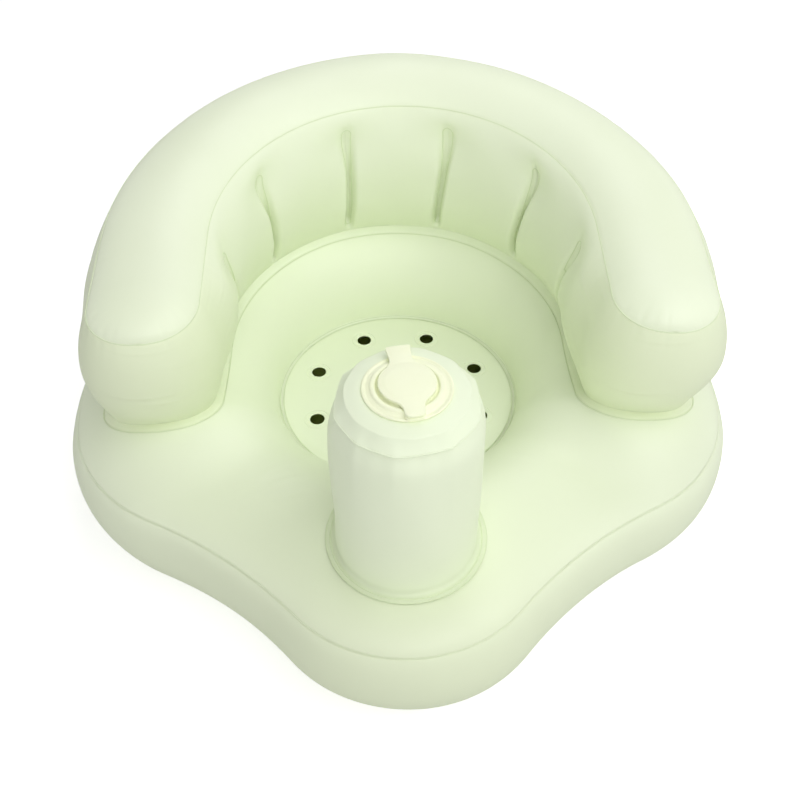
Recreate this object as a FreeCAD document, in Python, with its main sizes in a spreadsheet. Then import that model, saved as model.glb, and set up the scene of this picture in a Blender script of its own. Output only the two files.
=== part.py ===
import FreeCAD, Part
import math
import os
import Sketcher
from FreeCAD import Vector

# An inflatable baby sofa, in millimetres, standing on z = 0 with its front towards -Y.
# Every panel of film is a thin shell of its own, and the moulded valves are solids.

# Driving dimensions

SIZES = [
    ("film", 0.5, "one ply of film"),
    ("weld_gap", 0.15, "air left between two panels at a weld"),
    ("run_gap", 0.3, "clearance between pieces that move"),
    ("overrun", 4, "how far a cutter passes the face it cuts"),
    ("seat_y", 23, "seat centre, behind the middle of the base"),
    ("floor_radius", 102.5, "seat floor, to the foot of the well"),
    ("floor_lip", 3.5, "weld of the seat floor"),
    ("floor_height", 52.5, "underside of the seat floor above the ground"),
    ("drain_radius", 6.5, "one drain hole of the seat floor"),
    ("drain_circle", 75, "radius of the ring of drain holes"),
    ("front_reach", 263, "tip of the front lobe from the middle"),
    ("back_reach", 263, "back of the base from the middle"),
    ("front_lobe", 110.5, "radius of the front lobe"),
    ("side_lobe", 137, "radius of a side lobe"),
    ("side_lobe_x", 128, "centre of a side lobe, sideways"),
    ("side_lobe_y", -23, "centre of a side lobe, lengthways"),
    ("waist_radius", 350, "hollow between the front lobe and a side lobe"),
    ("girth_height", 57, "widest level of the base"),
    ("seam_height", 92, "upper seam of the base's side wall"),
    ("seam_inset", 8.6, "upper seam, in from the widest level"),
    ("tread_inset", 34, "edge of the ground contact, in from the widest level"),
    ("riser_foot", 152, "radius where the underside leaves the ground to rise to the seat floor"),
    ("crown_front", 104, "top of the base under the post"),
    ("crown_waist", 103, "top of the base where a leg passes"),
    ("crown_tip", 121, "top of the base at an arm's tip"),
    ("crown_side", 126, "top of the base under an arm"),
    ("crown_back", 129, "top of the base under the back"),
    ("crown_flat", 12, "level strip along the top of the base"),
    ("arm_x", 181.5, "middle of an arm, and radius of the back's middle line"),
    ("arm_tip_y", -44, "centre of an arm's rounded tip"),
    ("tube_half", 36, "half the width of the backrest at its seams"),
    ("tip_seam", 208, "backrest seam at the arm tips"),
    ("back_seam", 256, "backrest seam at the outside of the back"),
    ("top_rise", 15, "dome of the backrest's top panel"),
    ("outer_bulge", 17, "outward belly of the backrest's outer wall"),
    ("flute_bulge", 17, "belly of one puff of the inner wall"),
    ("tip_bulge", 12, "belly of the wall round an arm's tip"),
    ("crease_bulge", 1.5, "belly left at a crease"),
    ("crease_pull", 16, "how far a web draws back the upper end of its crease"),
    ("foot_in_back", 33, "inner foot from the middle line, at the back"),
    ("foot_in_arm", 38, "inner foot from the middle line, along an arm"),
    ("foot_tip", 25, "foot of the arm's tip from the tip's centre"),
    ("foot_out_arm", 42, "outer foot from the middle line, along an arm"),
    ("foot_out_back", 32, "outer foot from the middle line, at the back"),
    ("foot_lip", 7, "weld lip of a wall on the base"),
    ("lip_gap", 0.35, "air under a weld lip, which lies on a curved panel"),
    ("web_top_margin", 21, "web stops below the seam by this, at the two middle creases"),
    ("web_top_step", 13, "how much lower each crease further out starts"),
    ("web_foot_margin", 12, "web stops above the base by this"),
    ("vent_radius", 8, "air hole between base and backrest"),
    ("post_y", -165.5, "middle of the post"),
    ("post_radius", 49, "outside of the post's wall"),
    ("post_height", 138.5, "post's wall, foot to top seam"),
    ("post_top_radius", 38, "level part of the post's top panel"),
    ("post_top_rise", 5, "slope of the top panel's rim"),
    ("foam_radius", 46, "sponge core of the pump"),
    ("foam_bore", 17, "air way up the middle of the sponge"),
    ("foam_seat", 2.8, "hollow in the sponge's foot over the check valve"),
    ("flange_radius", 27.5, "intake valve flange"),
    ("flange_thick", 1.4, "intake valve flange"),
    ("step_radius", 22.5, "raised ring of the intake valve"),
    ("step_rise", 1.6, "raised ring above the flange"),
    ("bore_radius", 11, "air way of the intake valve"),
    ("socket_depth", 9, "intake valve's neck below the post's top panel"),
    ("neck_wall", 2, "wall of a valve's neck"),
    ("cap_radius", 17.5, "intake cap"),
    ("cap_thick", 3.2, "intake cap"),
    ("cap_edge", 0.8, "bevel round the cap"),
    ("plug_root", 8.6, "intake plug at the cap"),
    ("plug_end", 6.2, "intake plug at its end"),
    ("plug_length", 7, "intake plug"),
    ("tab_reach", 32, "pull tab's end from the valve's middle"),
    ("tab_root", 14, "pull tab's width at the cap"),
    ("tab_end", 15.5, "pull tab's width at its end"),
    ("tab_thick", 2, "pull tab and hinge strap"),
    ("cap_throat", 7, "hollow curve where the tab and the strap leave the cap"),
    ("tab_corner", 1.5, "rounded corner of the tab"),
    ("strap_corner", 4, "rounded corner of the strap's free end"),
    ("strap_width", 12.5, "hinge strap"),
    ("strap_end", 27.5, "hinge strap's end from the valve's middle"),
    ("check_flange", 15, "check valve flange"),
    ("check_bore", 7, "air way of the check valve"),
    ("check_depth", 10, "check valve's neck below the film"),
    ("flap_radius", 9.4, "flap of a valve"),
    ("flap_thick", 0.8, "flap of a valve"),
    ("flap_tail", 12, "flap's hinge line from the valve's middle"),
    ("flap_tail_width", 7, "flap's tail"),
    ("release_height", 182, "release valve above the ground"),
    ("release_flange", 14, "release valve flange"),
    ("release_bore", 6, "air way of the release valve"),
    ("release_neck", 16, "release valve's neck inside the wall"),
    ("release_cap", 8.5, "release plug's cap"),
    ("release_cap_thick", 2.4, "release plug's cap"),
    ("release_plug_root", 4.6, "release plug at its cap"),
    ("release_plug_end", 3.2, "release plug at its end"),
    ("release_plug_length", 5, "release plug"),
    ("release_strap_end", 15.5, "release strap's end from the valve's middle, clear of the flange"),
    ("release_strap_width", 5, "release strap"),
]

drain_count = 8
crease_count = 6
web_holes = 2
floor_plies = 2

# Directions round the seat, in degrees from the front, and shares of the sizes above

waist_turn = 44
tip_turn = 64
side_turn = 105
pad_turn = 32
crease_pitch = 31.5
first_crease = 15.75
cap_turn = 9
crown_mid_share = 0.5
steepest_share = 0.95
flute_power_share = 0.55
tip_shrink_shares = (0.985, 0.94, 0.8, 0.55, 0.28)
arm_run_shares = (0, 0.33, 0.67)
arm_belly_shares = (0, 0.5, 1, 1, 0.6, 0.3)
tip_swings = (0, 30, 60, 90, 120, 150, 180)
arch_leans = range(90, -91, -15)
level_turn = 1
side_sections = 30
flute_sections = 6
outer_sections = 12
web_hole_share = 0.24
vent_turns = (90, 135, 180, 225, 270)

doc = FreeCAD.newDocument("inflatable_baby_sofa")
sheet = doc.addObject("Spreadsheet::Sheet", "sizes")
for line, (alias, number, meaning) in enumerate(SIZES, start=1):
    sheet.set(f"A{line}", meaning)
    sheet.set(f"B{line}", str(number))
    sheet.setAlias(f"B{line}", alias)
doc.recompute()


class Measure:
    """A length with its value now and the formula on the sheet that gives it."""

    def __init__(self, value, text):
        self.value = float(value)
        self.text = text

    def __add__(self, other):
        return Measure(self.value + other.value, f"({self.text} + {other.text})")

    def __sub__(self, other):
        return Measure(self.value - other.value, f"({self.text} - {other.text})")

    def __mul__(self, factor):
        return Measure(self.value * factor, f"({self.text} * {factor})")

    def __truediv__(self, divisor):
        return Measure(self.value / divisor, f"({self.text} / {divisor})")

    def __neg__(self):
        return Measure(-self.value, f"(-{self.text})")


class Sizes:
    """Each alias of the sheet as a Measure."""

    def __init__(self):
        for alias, number, meaning in SIZES:
            setattr(self, alias, Measure(sheet.get(alias), f"{sheet.Name}.{alias}"))


class Numbers:
    """Each alias of the sheet as a plain number, for shapes worked out point by point."""

    def __init__(self):
        for alias, number, meaning in SIZES:
            setattr(self, alias, float(sheet.get(alias)))


S = Sizes()
N = Numbers()
NOTHING = Measure(0, "0")
nodes = []


# Sketched bodies

def new_body(label, x=NOTHING, y=NOTHING, z=NOTHING):
    """An empty body whose own origin stands at a point given by the sheet."""
    body = doc.addObject("PartDesign::Body", label)
    body.Label = label
    for axis, place in (("x", x), ("y", y), ("z", z)):
        body.setExpression(f"Placement.Base.{axis}", place.text)
    nodes.append(body)
    return body


def sketch_on(body, name, role):
    sketch = body.newObject("Sketcher::SketchObject", name)
    plane = [feature for feature in body.Origin.OriginFeatures if feature.Role == role][0]
    sketch.AttachmentSupport = (plane, [""])
    sketch.MapMode = "FlatFace"
    return sketch


def pin(sketch, geometry, end, x, y):
    """Holds one end of a line at (x, y), each bound to the sheet."""
    for kind, axis, place in (("DistanceX", -2, x), ("DistanceY", -1, y)):
        if place is NOTHING:
            sketch.addConstraint(Sketcher.Constraint("PointOnObject", geometry, end, axis))
            continue
        index = sketch.addConstraint(Sketcher.Constraint(kind, -1, 1, geometry, end, place.value))
        sketch.setExpression(f"Constraints[{index}]", place.text)


def hold(sketch, curve):
    """Adds a curve that was worked out from the sizes, and holds it where it is."""
    index = sketch.addGeometry(curve, False)
    sketch.addConstraint(Sketcher.Constraint("Block", index))


def polygon(body, name, role, corners):
    """A closed sketch of straight lines through corners given as pairs of measures."""
    sketch = sketch_on(body, name, role)
    points = [Vector(x.value, y.value, 0) for x, y in corners]
    for start, end in zip(points, points[1:] + points[:1]):
        sketch.addGeometry(Part.LineSegment(start, end), False)
    for index in range(len(corners)):
        following = (index + 1) % len(corners)
        sketch.addConstraint(Sketcher.Constraint("Coincident", index, 2, following, 1))
    for index, (x, y) in enumerate(corners):
        pin(sketch, index, 1, x, y)
    return sketch


def circle_sketch(body, name, role, radius, x=NOTHING, y=NOTHING):
    sketch = sketch_on(body, name, role)
    centre = Vector(x.value, y.value, 0)
    sketch.addGeometry(Part.Circle(centre, Vector(0, 0, 1), radius.value), False)
    pin(sketch, 0, 3, x, y)
    index = sketch.addConstraint(Sketcher.Constraint("Radius", 0, radius.value))
    sketch.setExpression(f"Constraints[{index}]", radius.text)
    return sketch


def revolve(body, name, corners):
    """A turned solid: the corners are (radius, height) in the body's own XZ plane."""
    sketch = polygon(body, f"{name}_profile", "XZ_Plane", corners)
    turned = body.newObject("PartDesign::Revolution", name)
    turned.Profile = sketch
    turned.ReferenceAxis = (sketch, ["V_Axis"])
    turned.Angle = 360
    doc.recompute()
    return turned


def pad(body, sketch, name, depth, backwards=False):
    solid = body.newObject("PartDesign::Pad", name)
    solid.Profile = sketch
    solid.setExpression("Length", depth.text)
    solid.Reversed = backwards
    doc.recompute()
    return solid


def pocket_through(body, sketch, name):
    cut = body.newObject("PartDesign::Pocket", name)
    cut.Profile = sketch
    cut.Type = "ThroughAll"
    cut.Midplane = True
    doc.recompute()
    return cut


def round_corners(body, name, radius, near, far):
    """Rounds the upright edges of a body whose distance from its own axis is between near and far."""
    solid = body.Tip
    edges = []
    for index, edge in enumerate(solid.Shape.Edges, start=1):
        ends = [vertex.Point for vertex in edge.Vertexes]
        if len(ends) == 2 and isinstance(edge.Curve, Part.Line):
            lean = math.hypot(ends[0].x - ends[1].x, ends[0].y - ends[1].y)
            if lean < N.weld_gap and near <= math.hypot(ends[0].x, ends[0].y) <= far:
                edges.append(f"Edge{index}")
    rounded = body.newObject("PartDesign::Fillet", name)
    rounded.Base = (solid, edges)
    rounded.setExpression("Radius", radius.text)
    doc.recompute()
    return rounded


def turn_body(body, degrees):
    """Turns a finished body about its own upright axis."""
    body.Placement.Rotation = FreeCAD.Rotation(Vector(0, 0, 1), degrees)
    doc.recompute()


def shaped(label, shape):
    """A sub-part whose form is worked out section by section."""
    feature = doc.addObject("Part::Feature", label)
    feature.Label = label
    feature.Shape = shape
    feature.Placement = FreeCAD.Placement()
    nodes.append(feature)
    return feature


# Plan of the base: tangent arcs

def plan_circles():
    """Centres and radii of the lobes, the waist and the back, on the right-hand side."""
    front = (0.0, N.front_lobe - N.front_reach, N.front_lobe)
    side = (N.side_lobe_x, N.side_lobe_y, N.side_lobe)
    depth = N.back_reach - N.side_lobe_y
    back_radius = (N.side_lobe_x ** 2 + depth ** 2 - N.side_lobe ** 2) / (2 * (depth - N.side_lobe))
    back = (0.0, N.back_reach - back_radius, back_radius)
    span = math.hypot(side[0] - front[0], side[1] - front[1])
    to_front = N.front_lobe + N.waist_radius
    to_side = N.side_lobe + N.waist_radius
    along = (to_front ** 2 - to_side ** 2 + span ** 2) / (2 * span)
    across = math.sqrt(to_front ** 2 - along ** 2)
    ux = (side[0] - front[0]) / span
    uy = (side[1] - front[1]) / span
    waist = (front[0] + ux * along + uy * across, front[1] + uy * along - ux * across, N.waist_radius)
    return {"front": front, "waist": waist, "side": side, "back": back}


def towards(start, end, distance):
    length = math.hypot(end[0] - start[0], end[1] - start[1])
    return (start[0] + (end[0] - start[0]) * distance / length,
            start[1] + (end[1] - start[1]) * distance / length)


def plan_joints(circles, inset=0.0):
    """Points where neighbouring arcs of the plan touch, front to back."""
    front, waist, side, back = (circles[key] for key in ("front", "waist", "side", "back"))
    return [towards(front, waist, front[2] - inset), towards(side, waist, side[2] - inset),
            towards(back, side, back[2] - inset)]


CIRCLES = plan_circles()


def turn_of(x, y):
    """Direction from the seat centre, in degrees from the front, the same on both sides."""
    return math.degrees(math.atan2(abs(x), N.seat_y - y))


def outline_radius(turn, inset=0.0):
    """Distance from the seat centre to the base's plan, drawn in by inset."""
    turn = abs((turn + 180) % 360 - 180)
    limits = [turn_of(*point) for point in plan_joints(CIRCLES, inset)]
    name = ("front", "waist", "side", "back")[sum(turn > limit for limit in limits)]
    x, y, radius = CIRCLES[name]
    radius += inset if name == "waist" else -inset
    direction = (math.sin(math.radians(turn)), -math.cos(math.radians(turn)))
    along = direction[0] * x + direction[1] * (y - N.seat_y)
    root = math.sqrt(along ** 2 - x ** 2 - (y - N.seat_y) ** 2 + radius ** 2)
    return along - root if name == "waist" else along + root


# Cross-section of the base

def ease(value, start, end):
    """0 at start, 1 at end, with a soft start and stop."""
    part = min(max((value - start) / (end - start), 0.0), 1.0)
    return 0.5 - 0.5 * math.cos(math.pi * part)


def along_keys(turn, keys):
    """A height that eases from one key direction to the next."""
    for (first, low), (second, high) in zip(keys, keys[1:]):
        if turn <= second:
            return low + (high - low) * ease(turn, first, second)
    return keys[-1][1]


def bow_angle(p, q):
    """Half the angle of an arc from p to q that never overhangs, level at its high end if it can be."""
    slope = math.atan2(abs(q[1] - p[1]), abs(q[0] - p[0]))
    return steepest_share * min(slope, math.pi / 2 - slope)


def crown_points(turn):
    """Well foot, both edges of the level strip and outer seam, as (radius, height)."""
    turn = abs((turn + 180) % 360 - 180)
    seam = outline_radius(turn, N.seam_inset)
    keys = [(0, N.crown_front), (waist_turn, N.crown_waist), (tip_turn, N.crown_tip),
            (side_turn, N.crown_side), (180, N.crown_back)]
    height = along_keys(turn, keys)
    front_weight = 1 - ease(turn, 0, pad_turn)
    middle = N.floor_radius + crown_mid_share * (seam - N.floor_radius)
    middle += front_weight * (N.seat_y - N.post_y - middle)
    half = N.crown_flat / 2 + front_weight * (N.post_radius + N.foot_lip + N.lip_gap - N.crown_flat / 2)
    foot = (N.floor_radius, N.floor_height + (floor_plies + 1) * N.film)
    return [foot, (middle - half, height), (middle + half, height), (seam, N.seam_height)]


def arc_height(p, q, radius):
    """Height of the bowed arc from p to q at a given radius."""
    half = bow_angle(p, q)
    chord = math.hypot(q[0] - p[0], q[1] - p[1])
    big = chord / 2 / math.sin(half)
    middle = ((p[0] + q[0]) / 2, (p[1] + q[1]) / 2)
    drop = big * math.cos(half)
    centre = (middle[0] + (q[1] - p[1]) / chord * drop, middle[1] - (q[0] - p[0]) / chord * drop)
    return centre[1] + math.sqrt(big ** 2 - (radius - centre[0]) ** 2)


def base_height(x, y):
    """Height of the base's top panel over a point of the plan."""
    radius = math.hypot(x, y - N.seat_y)
    foot, inner, outer, seam = crown_points(turn_of(x, y))
    if radius < inner[0]:
        return arc_height(foot, inner, max(radius, foot[0]))
    if radius > outer[0]:
        return arc_height(outer, seam, min(radius, seam[0]))
    return inner[1]


# Bands: thin closed sections for lofts

def frame_at(x, y, turn):
    """Turns (distance, height) into space, in the upright plane through (x, y) facing turn."""
    sine = math.sin(math.radians(turn))
    cosine = math.cos(math.radians(turn))

    def place(point):
        return Vector(x + point[0] * sine, y - point[0] * cosine, point[1])
    return place


def bowed(place, p, q, half):
    """An arc from p to q that swells to the left of that direction, or a line where half is zero."""
    if half == 0:
        return Part.LineSegment(place(p), place(q)).toShape()
    chord = math.hypot(q[0] - p[0], q[1] - p[1])
    rise = chord / 2 * math.tan(half / 2)
    middle = ((p[0] + q[0]) / 2 - (q[1] - p[1]) / chord * rise,
              (p[1] + q[1]) / 2 + (q[0] - p[0]) / chord * rise)
    return Part.Arc(place(p), place(middle), place(q)).toShape()


def offset_point(before, after, point, depth):
    """The point moved to the right of the path by depth, where the path turns from before to after."""
    turn = (after - before) / 2
    heading = before + turn
    reach = depth / math.cos(turn)
    return (point[0] + reach * math.sin(heading), point[1] - reach * math.cos(heading))


def band(place, points, halves, depth):
    """A closed wire: the path through points, bowed by halves, and the same path depth inside it."""
    headings = []
    for p, q, half in zip(points, points[1:], halves):
        chord = math.atan2(q[1] - p[1], q[0] - p[0])
        headings.append((chord + half, chord - half))
    inner = [offset_point(headings[0][0], headings[0][0], points[0], depth)]
    for index in range(1, len(points) - 1):
        inner.append(offset_point(headings[index - 1][1], headings[index][0], points[index], depth))
    inner.append(offset_point(headings[-1][1], headings[-1][1], points[-1], depth))
    edges = [bowed(place, p, q, half) for p, q, half in zip(points, points[1:], halves)]
    edges.append(bowed(place, points[-1], inner[-1], 0))
    backwards = list(zip(inner, inner[1:], halves))[::-1]
    edges += [bowed(place, q, p, -half) for p, q, half in backwards]
    edges.append(bowed(place, inner[0], points[0], 0))
    return Part.Wire(edges)


def ring_loft(section):
    """A closed ring: one side lofted from front to back, and its mirror image sewn to it."""
    pitch = 180 / side_sections
    turns = [0, level_turn] + [pitch * step for step in range(1, side_sections)] + [180 - level_turn, 180]
    side = Part.makeLoft([section(turn) for turn in turns], False, False)
    shell = Part.Shell(side.Faces + side.mirror(Vector(0, 0, 0), Vector(1, 0, 0)).Faces)
    shell.sewShape()
    return Part.Solid(shell)


def seat_frame(turn):
    return frame_at(0.0, N.seat_y, turn)


# Base

def top_panel_section(turn):
    foot, inner, outer, seam = crown_points(turn)
    lip = (foot[0] - N.floor_lip, foot[1])
    seam = (seam[0], seam[1] + N.weld_gap)
    points = [lip, foot, inner, outer, seam]
    halves = [0, bow_angle(foot, inner), 0, bow_angle(outer, seam)]
    return band(seat_frame(turn), points, halves, N.film)


def side_wall_section(turn):
    seam = (outline_radius(turn, N.seam_inset), N.seam_height - N.film)
    girth = (outline_radius(turn), N.girth_height)
    tread = (outline_radius(turn, N.tread_inset), 0.0)
    upper = math.atan2(girth[0] - seam[0], seam[1] - girth[1])
    lower = math.atan2(girth[0] - tread[0], girth[1])
    return band(seat_frame(turn), [seam, girth, tread], [upper, lower], N.film)


def base_top_panel():
    panel = ring_loft(top_panel_section)
    length = N.crown_back - N.floor_height
    cutters = [Part.makeCylinder(N.check_bore + N.neck_wall + N.weld_gap, length,
                                 Vector(0, N.post_y, N.crown_front - length / 2))]
    for turn in vent_turns:
        sine = math.sin(math.radians(turn))
        cosine = math.cos(math.radians(turn))
        spot = Vector(N.arm_x * sine, N.seat_y - N.arm_x * cosine, N.floor_height)
        cutters.append(Part.makeCylinder(N.vent_radius, 2 * length, spot))
    return shaped("base_top_panel", panel.cut(Part.Compound(cutters)))


def plan_sketch(body, name, inset):
    """The base's plan, drawn in by inset, as six tangent arcs about the seat centre's own axes."""
    sketch = sketch_on(body, name, "XY_Plane")
    order = ["front", "waist", "side", "back"]
    right = [Vector(x, y - N.seat_y, 0) for x, y in plan_joints(CIRCLES, inset)]
    left = [Vector(-point.x, point.y, 0) for point in right]
    tips = {"front": Vector(0, -N.front_reach + inset - N.seat_y, 0),
            "back": Vector(0, N.back_reach - inset - N.seat_y, 0)}

    def bulge(key, mirror):
        x, y, radius = CIRCLES[key]
        start, end = right[order.index(key) - 1], right[order.index(key)]
        centre = Vector(x, y - N.seat_y, 0)
        out = ((start + end) * 0.5 - centre).normalize()
        size = radius + inset if key == "waist" else radius - inset
        spot = centre + out * size
        return Vector(mirror * spot.x, spot.y, 0)

    arcs = [(left[0], tips["front"], right[0]), (right[0], bulge("waist", 1), right[1]),
            (right[1], bulge("side", 1), right[2]), (right[2], tips["back"], left[2]),
            (left[2], bulge("side", -1), left[1]), (left[1], bulge("waist", -1), left[0])]
    for start, middle, end in arcs:
        hold(sketch, Part.Arc(start, middle, end))
    return sketch


def base_bottom_panel():
    """Level tread on the ground, and the turned riser that carries the seat floor."""
    body = new_body("base_bottom_panel", y=S.seat_y)
    sketch = plan_sketch(body, "tread_plan", N.tread_inset + N.film + N.weld_gap)
    hole = sketch.addGeometry(Part.Circle(Vector(0, 0, 0), Vector(0, 0, 1), N.riser_foot), False)
    pin(sketch, hole, 3, NOTHING, NOTHING)
    index = sketch.addConstraint(Sketcher.Constraint("Radius", hole, N.riser_foot))
    sketch.setExpression(f"Constraints[{index}]", S.riser_foot.text)
    pad(body, sketch, "tread", S.film)
    riser = sketch_on(body, "riser_profile", "XZ_Plane")
    low = (N.riser_foot, 0.0)
    high = (N.floor_radius, N.floor_height - N.film - N.weld_gap)
    lip = (N.floor_radius - N.floor_lip, high[1])
    wire = band(lambda point: Vector(point[0], point[1], 0), [lip, high, low],
                [0, -bow_angle(high, low)], -N.film)
    for edge in wire.Edges:
        curve = edge.Curve
        ends = [vertex.Point for vertex in edge.Vertexes]
        if isinstance(curve, Part.Line):
            hold(riser, Part.LineSegment(ends[0], ends[1]))
        else:
            hold(riser, Part.ArcOfCircle(curve, edge.FirstParameter, edge.LastParameter))
    turned = body.newObject("PartDesign::Revolution", "riser")
    turned.Profile = riser
    turned.ReferenceAxis = (riser, ["V_Axis"])
    turned.Angle = 360
    doc.recompute()
    return body


def seat_floor():
    body = new_body("seat_floor", y=S.seat_y, z=S.floor_height)
    disc = circle_sketch(body, "floor_plan", "XY_Plane", S.floor_radius)
    pad(body, disc, "floor_disc", S.film * floor_plies - S.weld_gap)
    hole = circle_sketch(body, "drain_plan", "XY_Plane", S.drain_radius, S.drain_circle)
    cut = pocket_through(body, hole, "drain")
    ring = body.newObject("PartDesign::PolarPattern", "drains")
    ring.Originals = [cut]
    ring.Axis = (hole, ["N_Axis"])
    ring.Angle = 360
    ring.Occurrences = drain_count
    body.Tip = ring
    half_step = 180 / drain_count
    turn_body(body, half_step)
    return body


# Backrest: a horseshoe chamber on the base

def seam_level(y):
    """Height of the backrest's seams, which rise in one plane from the arm tips to the back."""
    tip = N.arm_tip_y - N.tube_half
    back = N.seat_y + N.arm_x + N.tube_half
    return N.tip_seam + (N.back_seam - N.tip_seam) * (y - tip) / (back - tip)


def back_station(lean, outward):
    """Station on the back's arc, lean degrees from straight back, facing out of or into the seat."""
    turn = 180 - lean
    x = N.arm_x * math.sin(math.radians(turn))
    y = N.seat_y - N.arm_x * math.cos(math.radians(turn))
    weight = ease(abs(lean), 0, 90)
    if outward:
        foot = N.foot_out_back + weight * (N.foot_out_arm - N.foot_out_back)
        return (x, y, turn, foot)
    foot = N.foot_in_back + weight * (N.foot_in_arm - N.foot_in_back)
    return (x, y, turn + 180, foot)


def arm_station(y, outward, side):
    """Station on an arm's straight run: side is 1 on the right, -1 on the left."""
    if outward:
        return (side * N.arm_x, y, side * 90, N.foot_out_arm)
    return (side * N.arm_x, y, -side * 90, N.foot_in_arm)


def tip_station(swing, side):
    """Station round an arm's tip: swing runs from 0, facing the seat, to 180, facing out."""
    ends = N.foot_in_arm if swing < 90 else N.foot_out_arm
    across = math.cos(math.radians(swing)) / ends
    along = math.sin(math.radians(swing)) / N.foot_tip
    foot = 1 / math.hypot(across, along)
    return (side * N.arm_x, N.arm_tip_y, side * (swing - 90), foot)


def wall_points(station):
    """Upper seam, foot and lip end of a wall, as (distance, height) in the station's plane."""
    x, y, turn, foot = station
    place = frame_at(x, y, turn)

    def ground(distance):
        spot = place((distance, 0))
        return base_height(spot.x, spot.y) + N.lip_gap
    seam = place((N.tube_half, 0))
    top = (N.tube_half, seam_level(seam.y))
    return place, top, (foot, ground(foot)), (foot + N.foot_lip, ground(foot + N.foot_lip)), ground


def wall_half(top, foot, bulge):
    """Half the angle of the wall's arc whose belly is bulge."""
    return 2 * math.atan2(2 * bulge, math.hypot(top[0] - foot[0], top[1] - foot[1]))


def web_margin(station):
    """How far below the seam a web stops, which is more towards the arms."""
    lean = math.degrees(math.atan2(abs(station[0]), station[1] - N.seat_y))
    return N.web_top_margin + N.web_top_step * max(0, lean - first_crease) / crease_pitch


def knee_of(top, low, half, pull, margin):
    """Where a wall's arc passes a web's top, drawn back by pull, and how far round the arc that is."""
    chord = (low[0] - top[0], low[1] - top[1])
    length = math.hypot(*chord)
    share = margin / (top[1] - low[1])
    swing = math.asin((2 * share - 1) * math.sin(half))
    rise = length / 2 * (math.cos(swing) - math.cos(half)) / math.sin(half) - pull
    knee = (top[0] + chord[0] * share - chord[1] / length * rise,
            top[1] + chord[1] * share + chord[0] / length * rise)
    return knee, swing


def wall_section(station, bulge, pull=None):
    """A wall from its seam to its foot, with a weld lip. With a pull it has a knee at the webs' top."""
    place, top, foot, lip, ground = wall_points(station)
    half = wall_half(top, foot, bulge)
    top = (top[0], top[1] - N.film - N.weld_gap)
    low = (foot[0], foot[1] + N.film)
    points, halves = [top, low], [half]
    inner = [(top[0] - N.film, top[1]), (foot[0] - N.film, ground(foot[0] - N.film))]
    if pull is not None:
        knee, swing = knee_of(top, low, half, pull, web_margin(station))
        points, halves = [top, knee, low], [(half + swing) / 2, (half - swing) / 2]
        before = math.atan2(knee[1] - top[1], knee[0] - top[0]) - halves[0]
        after = math.atan2(low[1] - knee[1], low[0] - knee[0]) + halves[1]
        inner.insert(1, offset_point(before, after, knee, N.film))
    edges = [bowed(place, p, q, turn) for p, q, turn in zip(points, points[1:], halves)]
    edges += [bowed(place, low, (lip[0], lip[1] + N.film), 0),
              bowed(place, (lip[0], lip[1] + N.film), lip, 0), bowed(place, lip, inner[-1], 0)]
    backwards = list(zip(inner, inner[1:], halves))[::-1]
    edges += [bowed(place, q, p, -turn) for p, q, turn in backwards]
    edges.append(bowed(place, inner[0], top, 0))
    return Part.Wire(edges)


def crease_leans():
    """Leans of the creases, from the left arm to the right."""
    return [-first_crease - crease_pitch * (crease_count / 2 - 1) + crease_pitch * step
            for step in range(crease_count)]


def flute(start, end):
    """One puff of the inner wall, between two creases."""
    wires = []
    for step in range(flute_sections + 1):
        share = step / flute_sections
        swell = math.sin(math.pi * share) ** flute_power_share if 0 < step < flute_sections else 0.0
        bulge = N.crease_bulge + swell * (N.flute_bulge - N.crease_bulge)
        station = back_station(start + (end - start) * share, False)
        wires.append(wall_section(station, bulge, N.crease_pull * (1 - swell)))
    return Part.makeLoft(wires, True, False)


def arm_wall(side):
    """The plain wall from the last crease along the arm, round its tip and back outside."""
    last = crease_leans()[-1]
    run = N.arm_tip_y - N.seat_y
    stations = [back_station(side * (last + (90 - last) * share), False) for share in arm_run_shares]
    stations += [arm_station(N.seat_y + share * run, False, side) for share in arm_run_shares]
    stations += [tip_station(swing, side) for swing in tip_swings]
    stations += [arm_station(N.seat_y + share * run, True, side) for share in arm_run_shares[::-1]]
    lows = [N.crease_bulge] * len(arm_run_shares) + [N.tip_bulge] * len(arm_run_shares)
    bulges = [low + (N.flute_bulge - low) * share for low, share in zip(lows, arm_belly_shares)]
    bulges += [N.tip_bulge] * len(tip_swings)
    bulges += [N.outer_bulge - (N.outer_bulge - N.tip_bulge) * share for share in arm_run_shares[::-1]]
    pulls = [N.crease_pull * (1 - share) for share in arm_belly_shares[:len(arm_run_shares)]]
    pulls += [0.0] * (len(stations) - len(pulls))
    wires = [wall_section(*section) for section in zip(stations, bulges, pulls)]
    return Part.makeLoft(wires, True, False)


def backrest_inner_wall():
    leans = crease_leans()
    pieces = [flute(start, end) for start, end in zip(leans, leans[1:])]
    pieces += [arm_wall(1), arm_wall(-1)]
    return shaped("backrest_inner_wall", pieces[0].fuse(pieces[1:]))


def backrest_outer_wall():
    """The wall across the back, from one arm's joint to the other's."""
    clear = math.degrees(N.weld_gap / N.arm_x)
    reach = 90 - clear
    leans = [-reach + 2 * reach * step / outer_sections for step in range(outer_sections + 1)]
    wires = [wall_section(back_station(lean, True), N.outer_bulge) for lean in leans]
    wall = Part.makeLoft(wires, True, False)
    length = N.tube_half
    hole = Part.makeCylinder(N.release_bore + N.neck_wall + N.weld_gap, 2 * length,
                             Vector(0, N.seat_y + N.arm_x, N.release_height), Vector(0, 1, 0))
    return shaped("backrest_outer_wall", wall.cut(hole))


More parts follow.
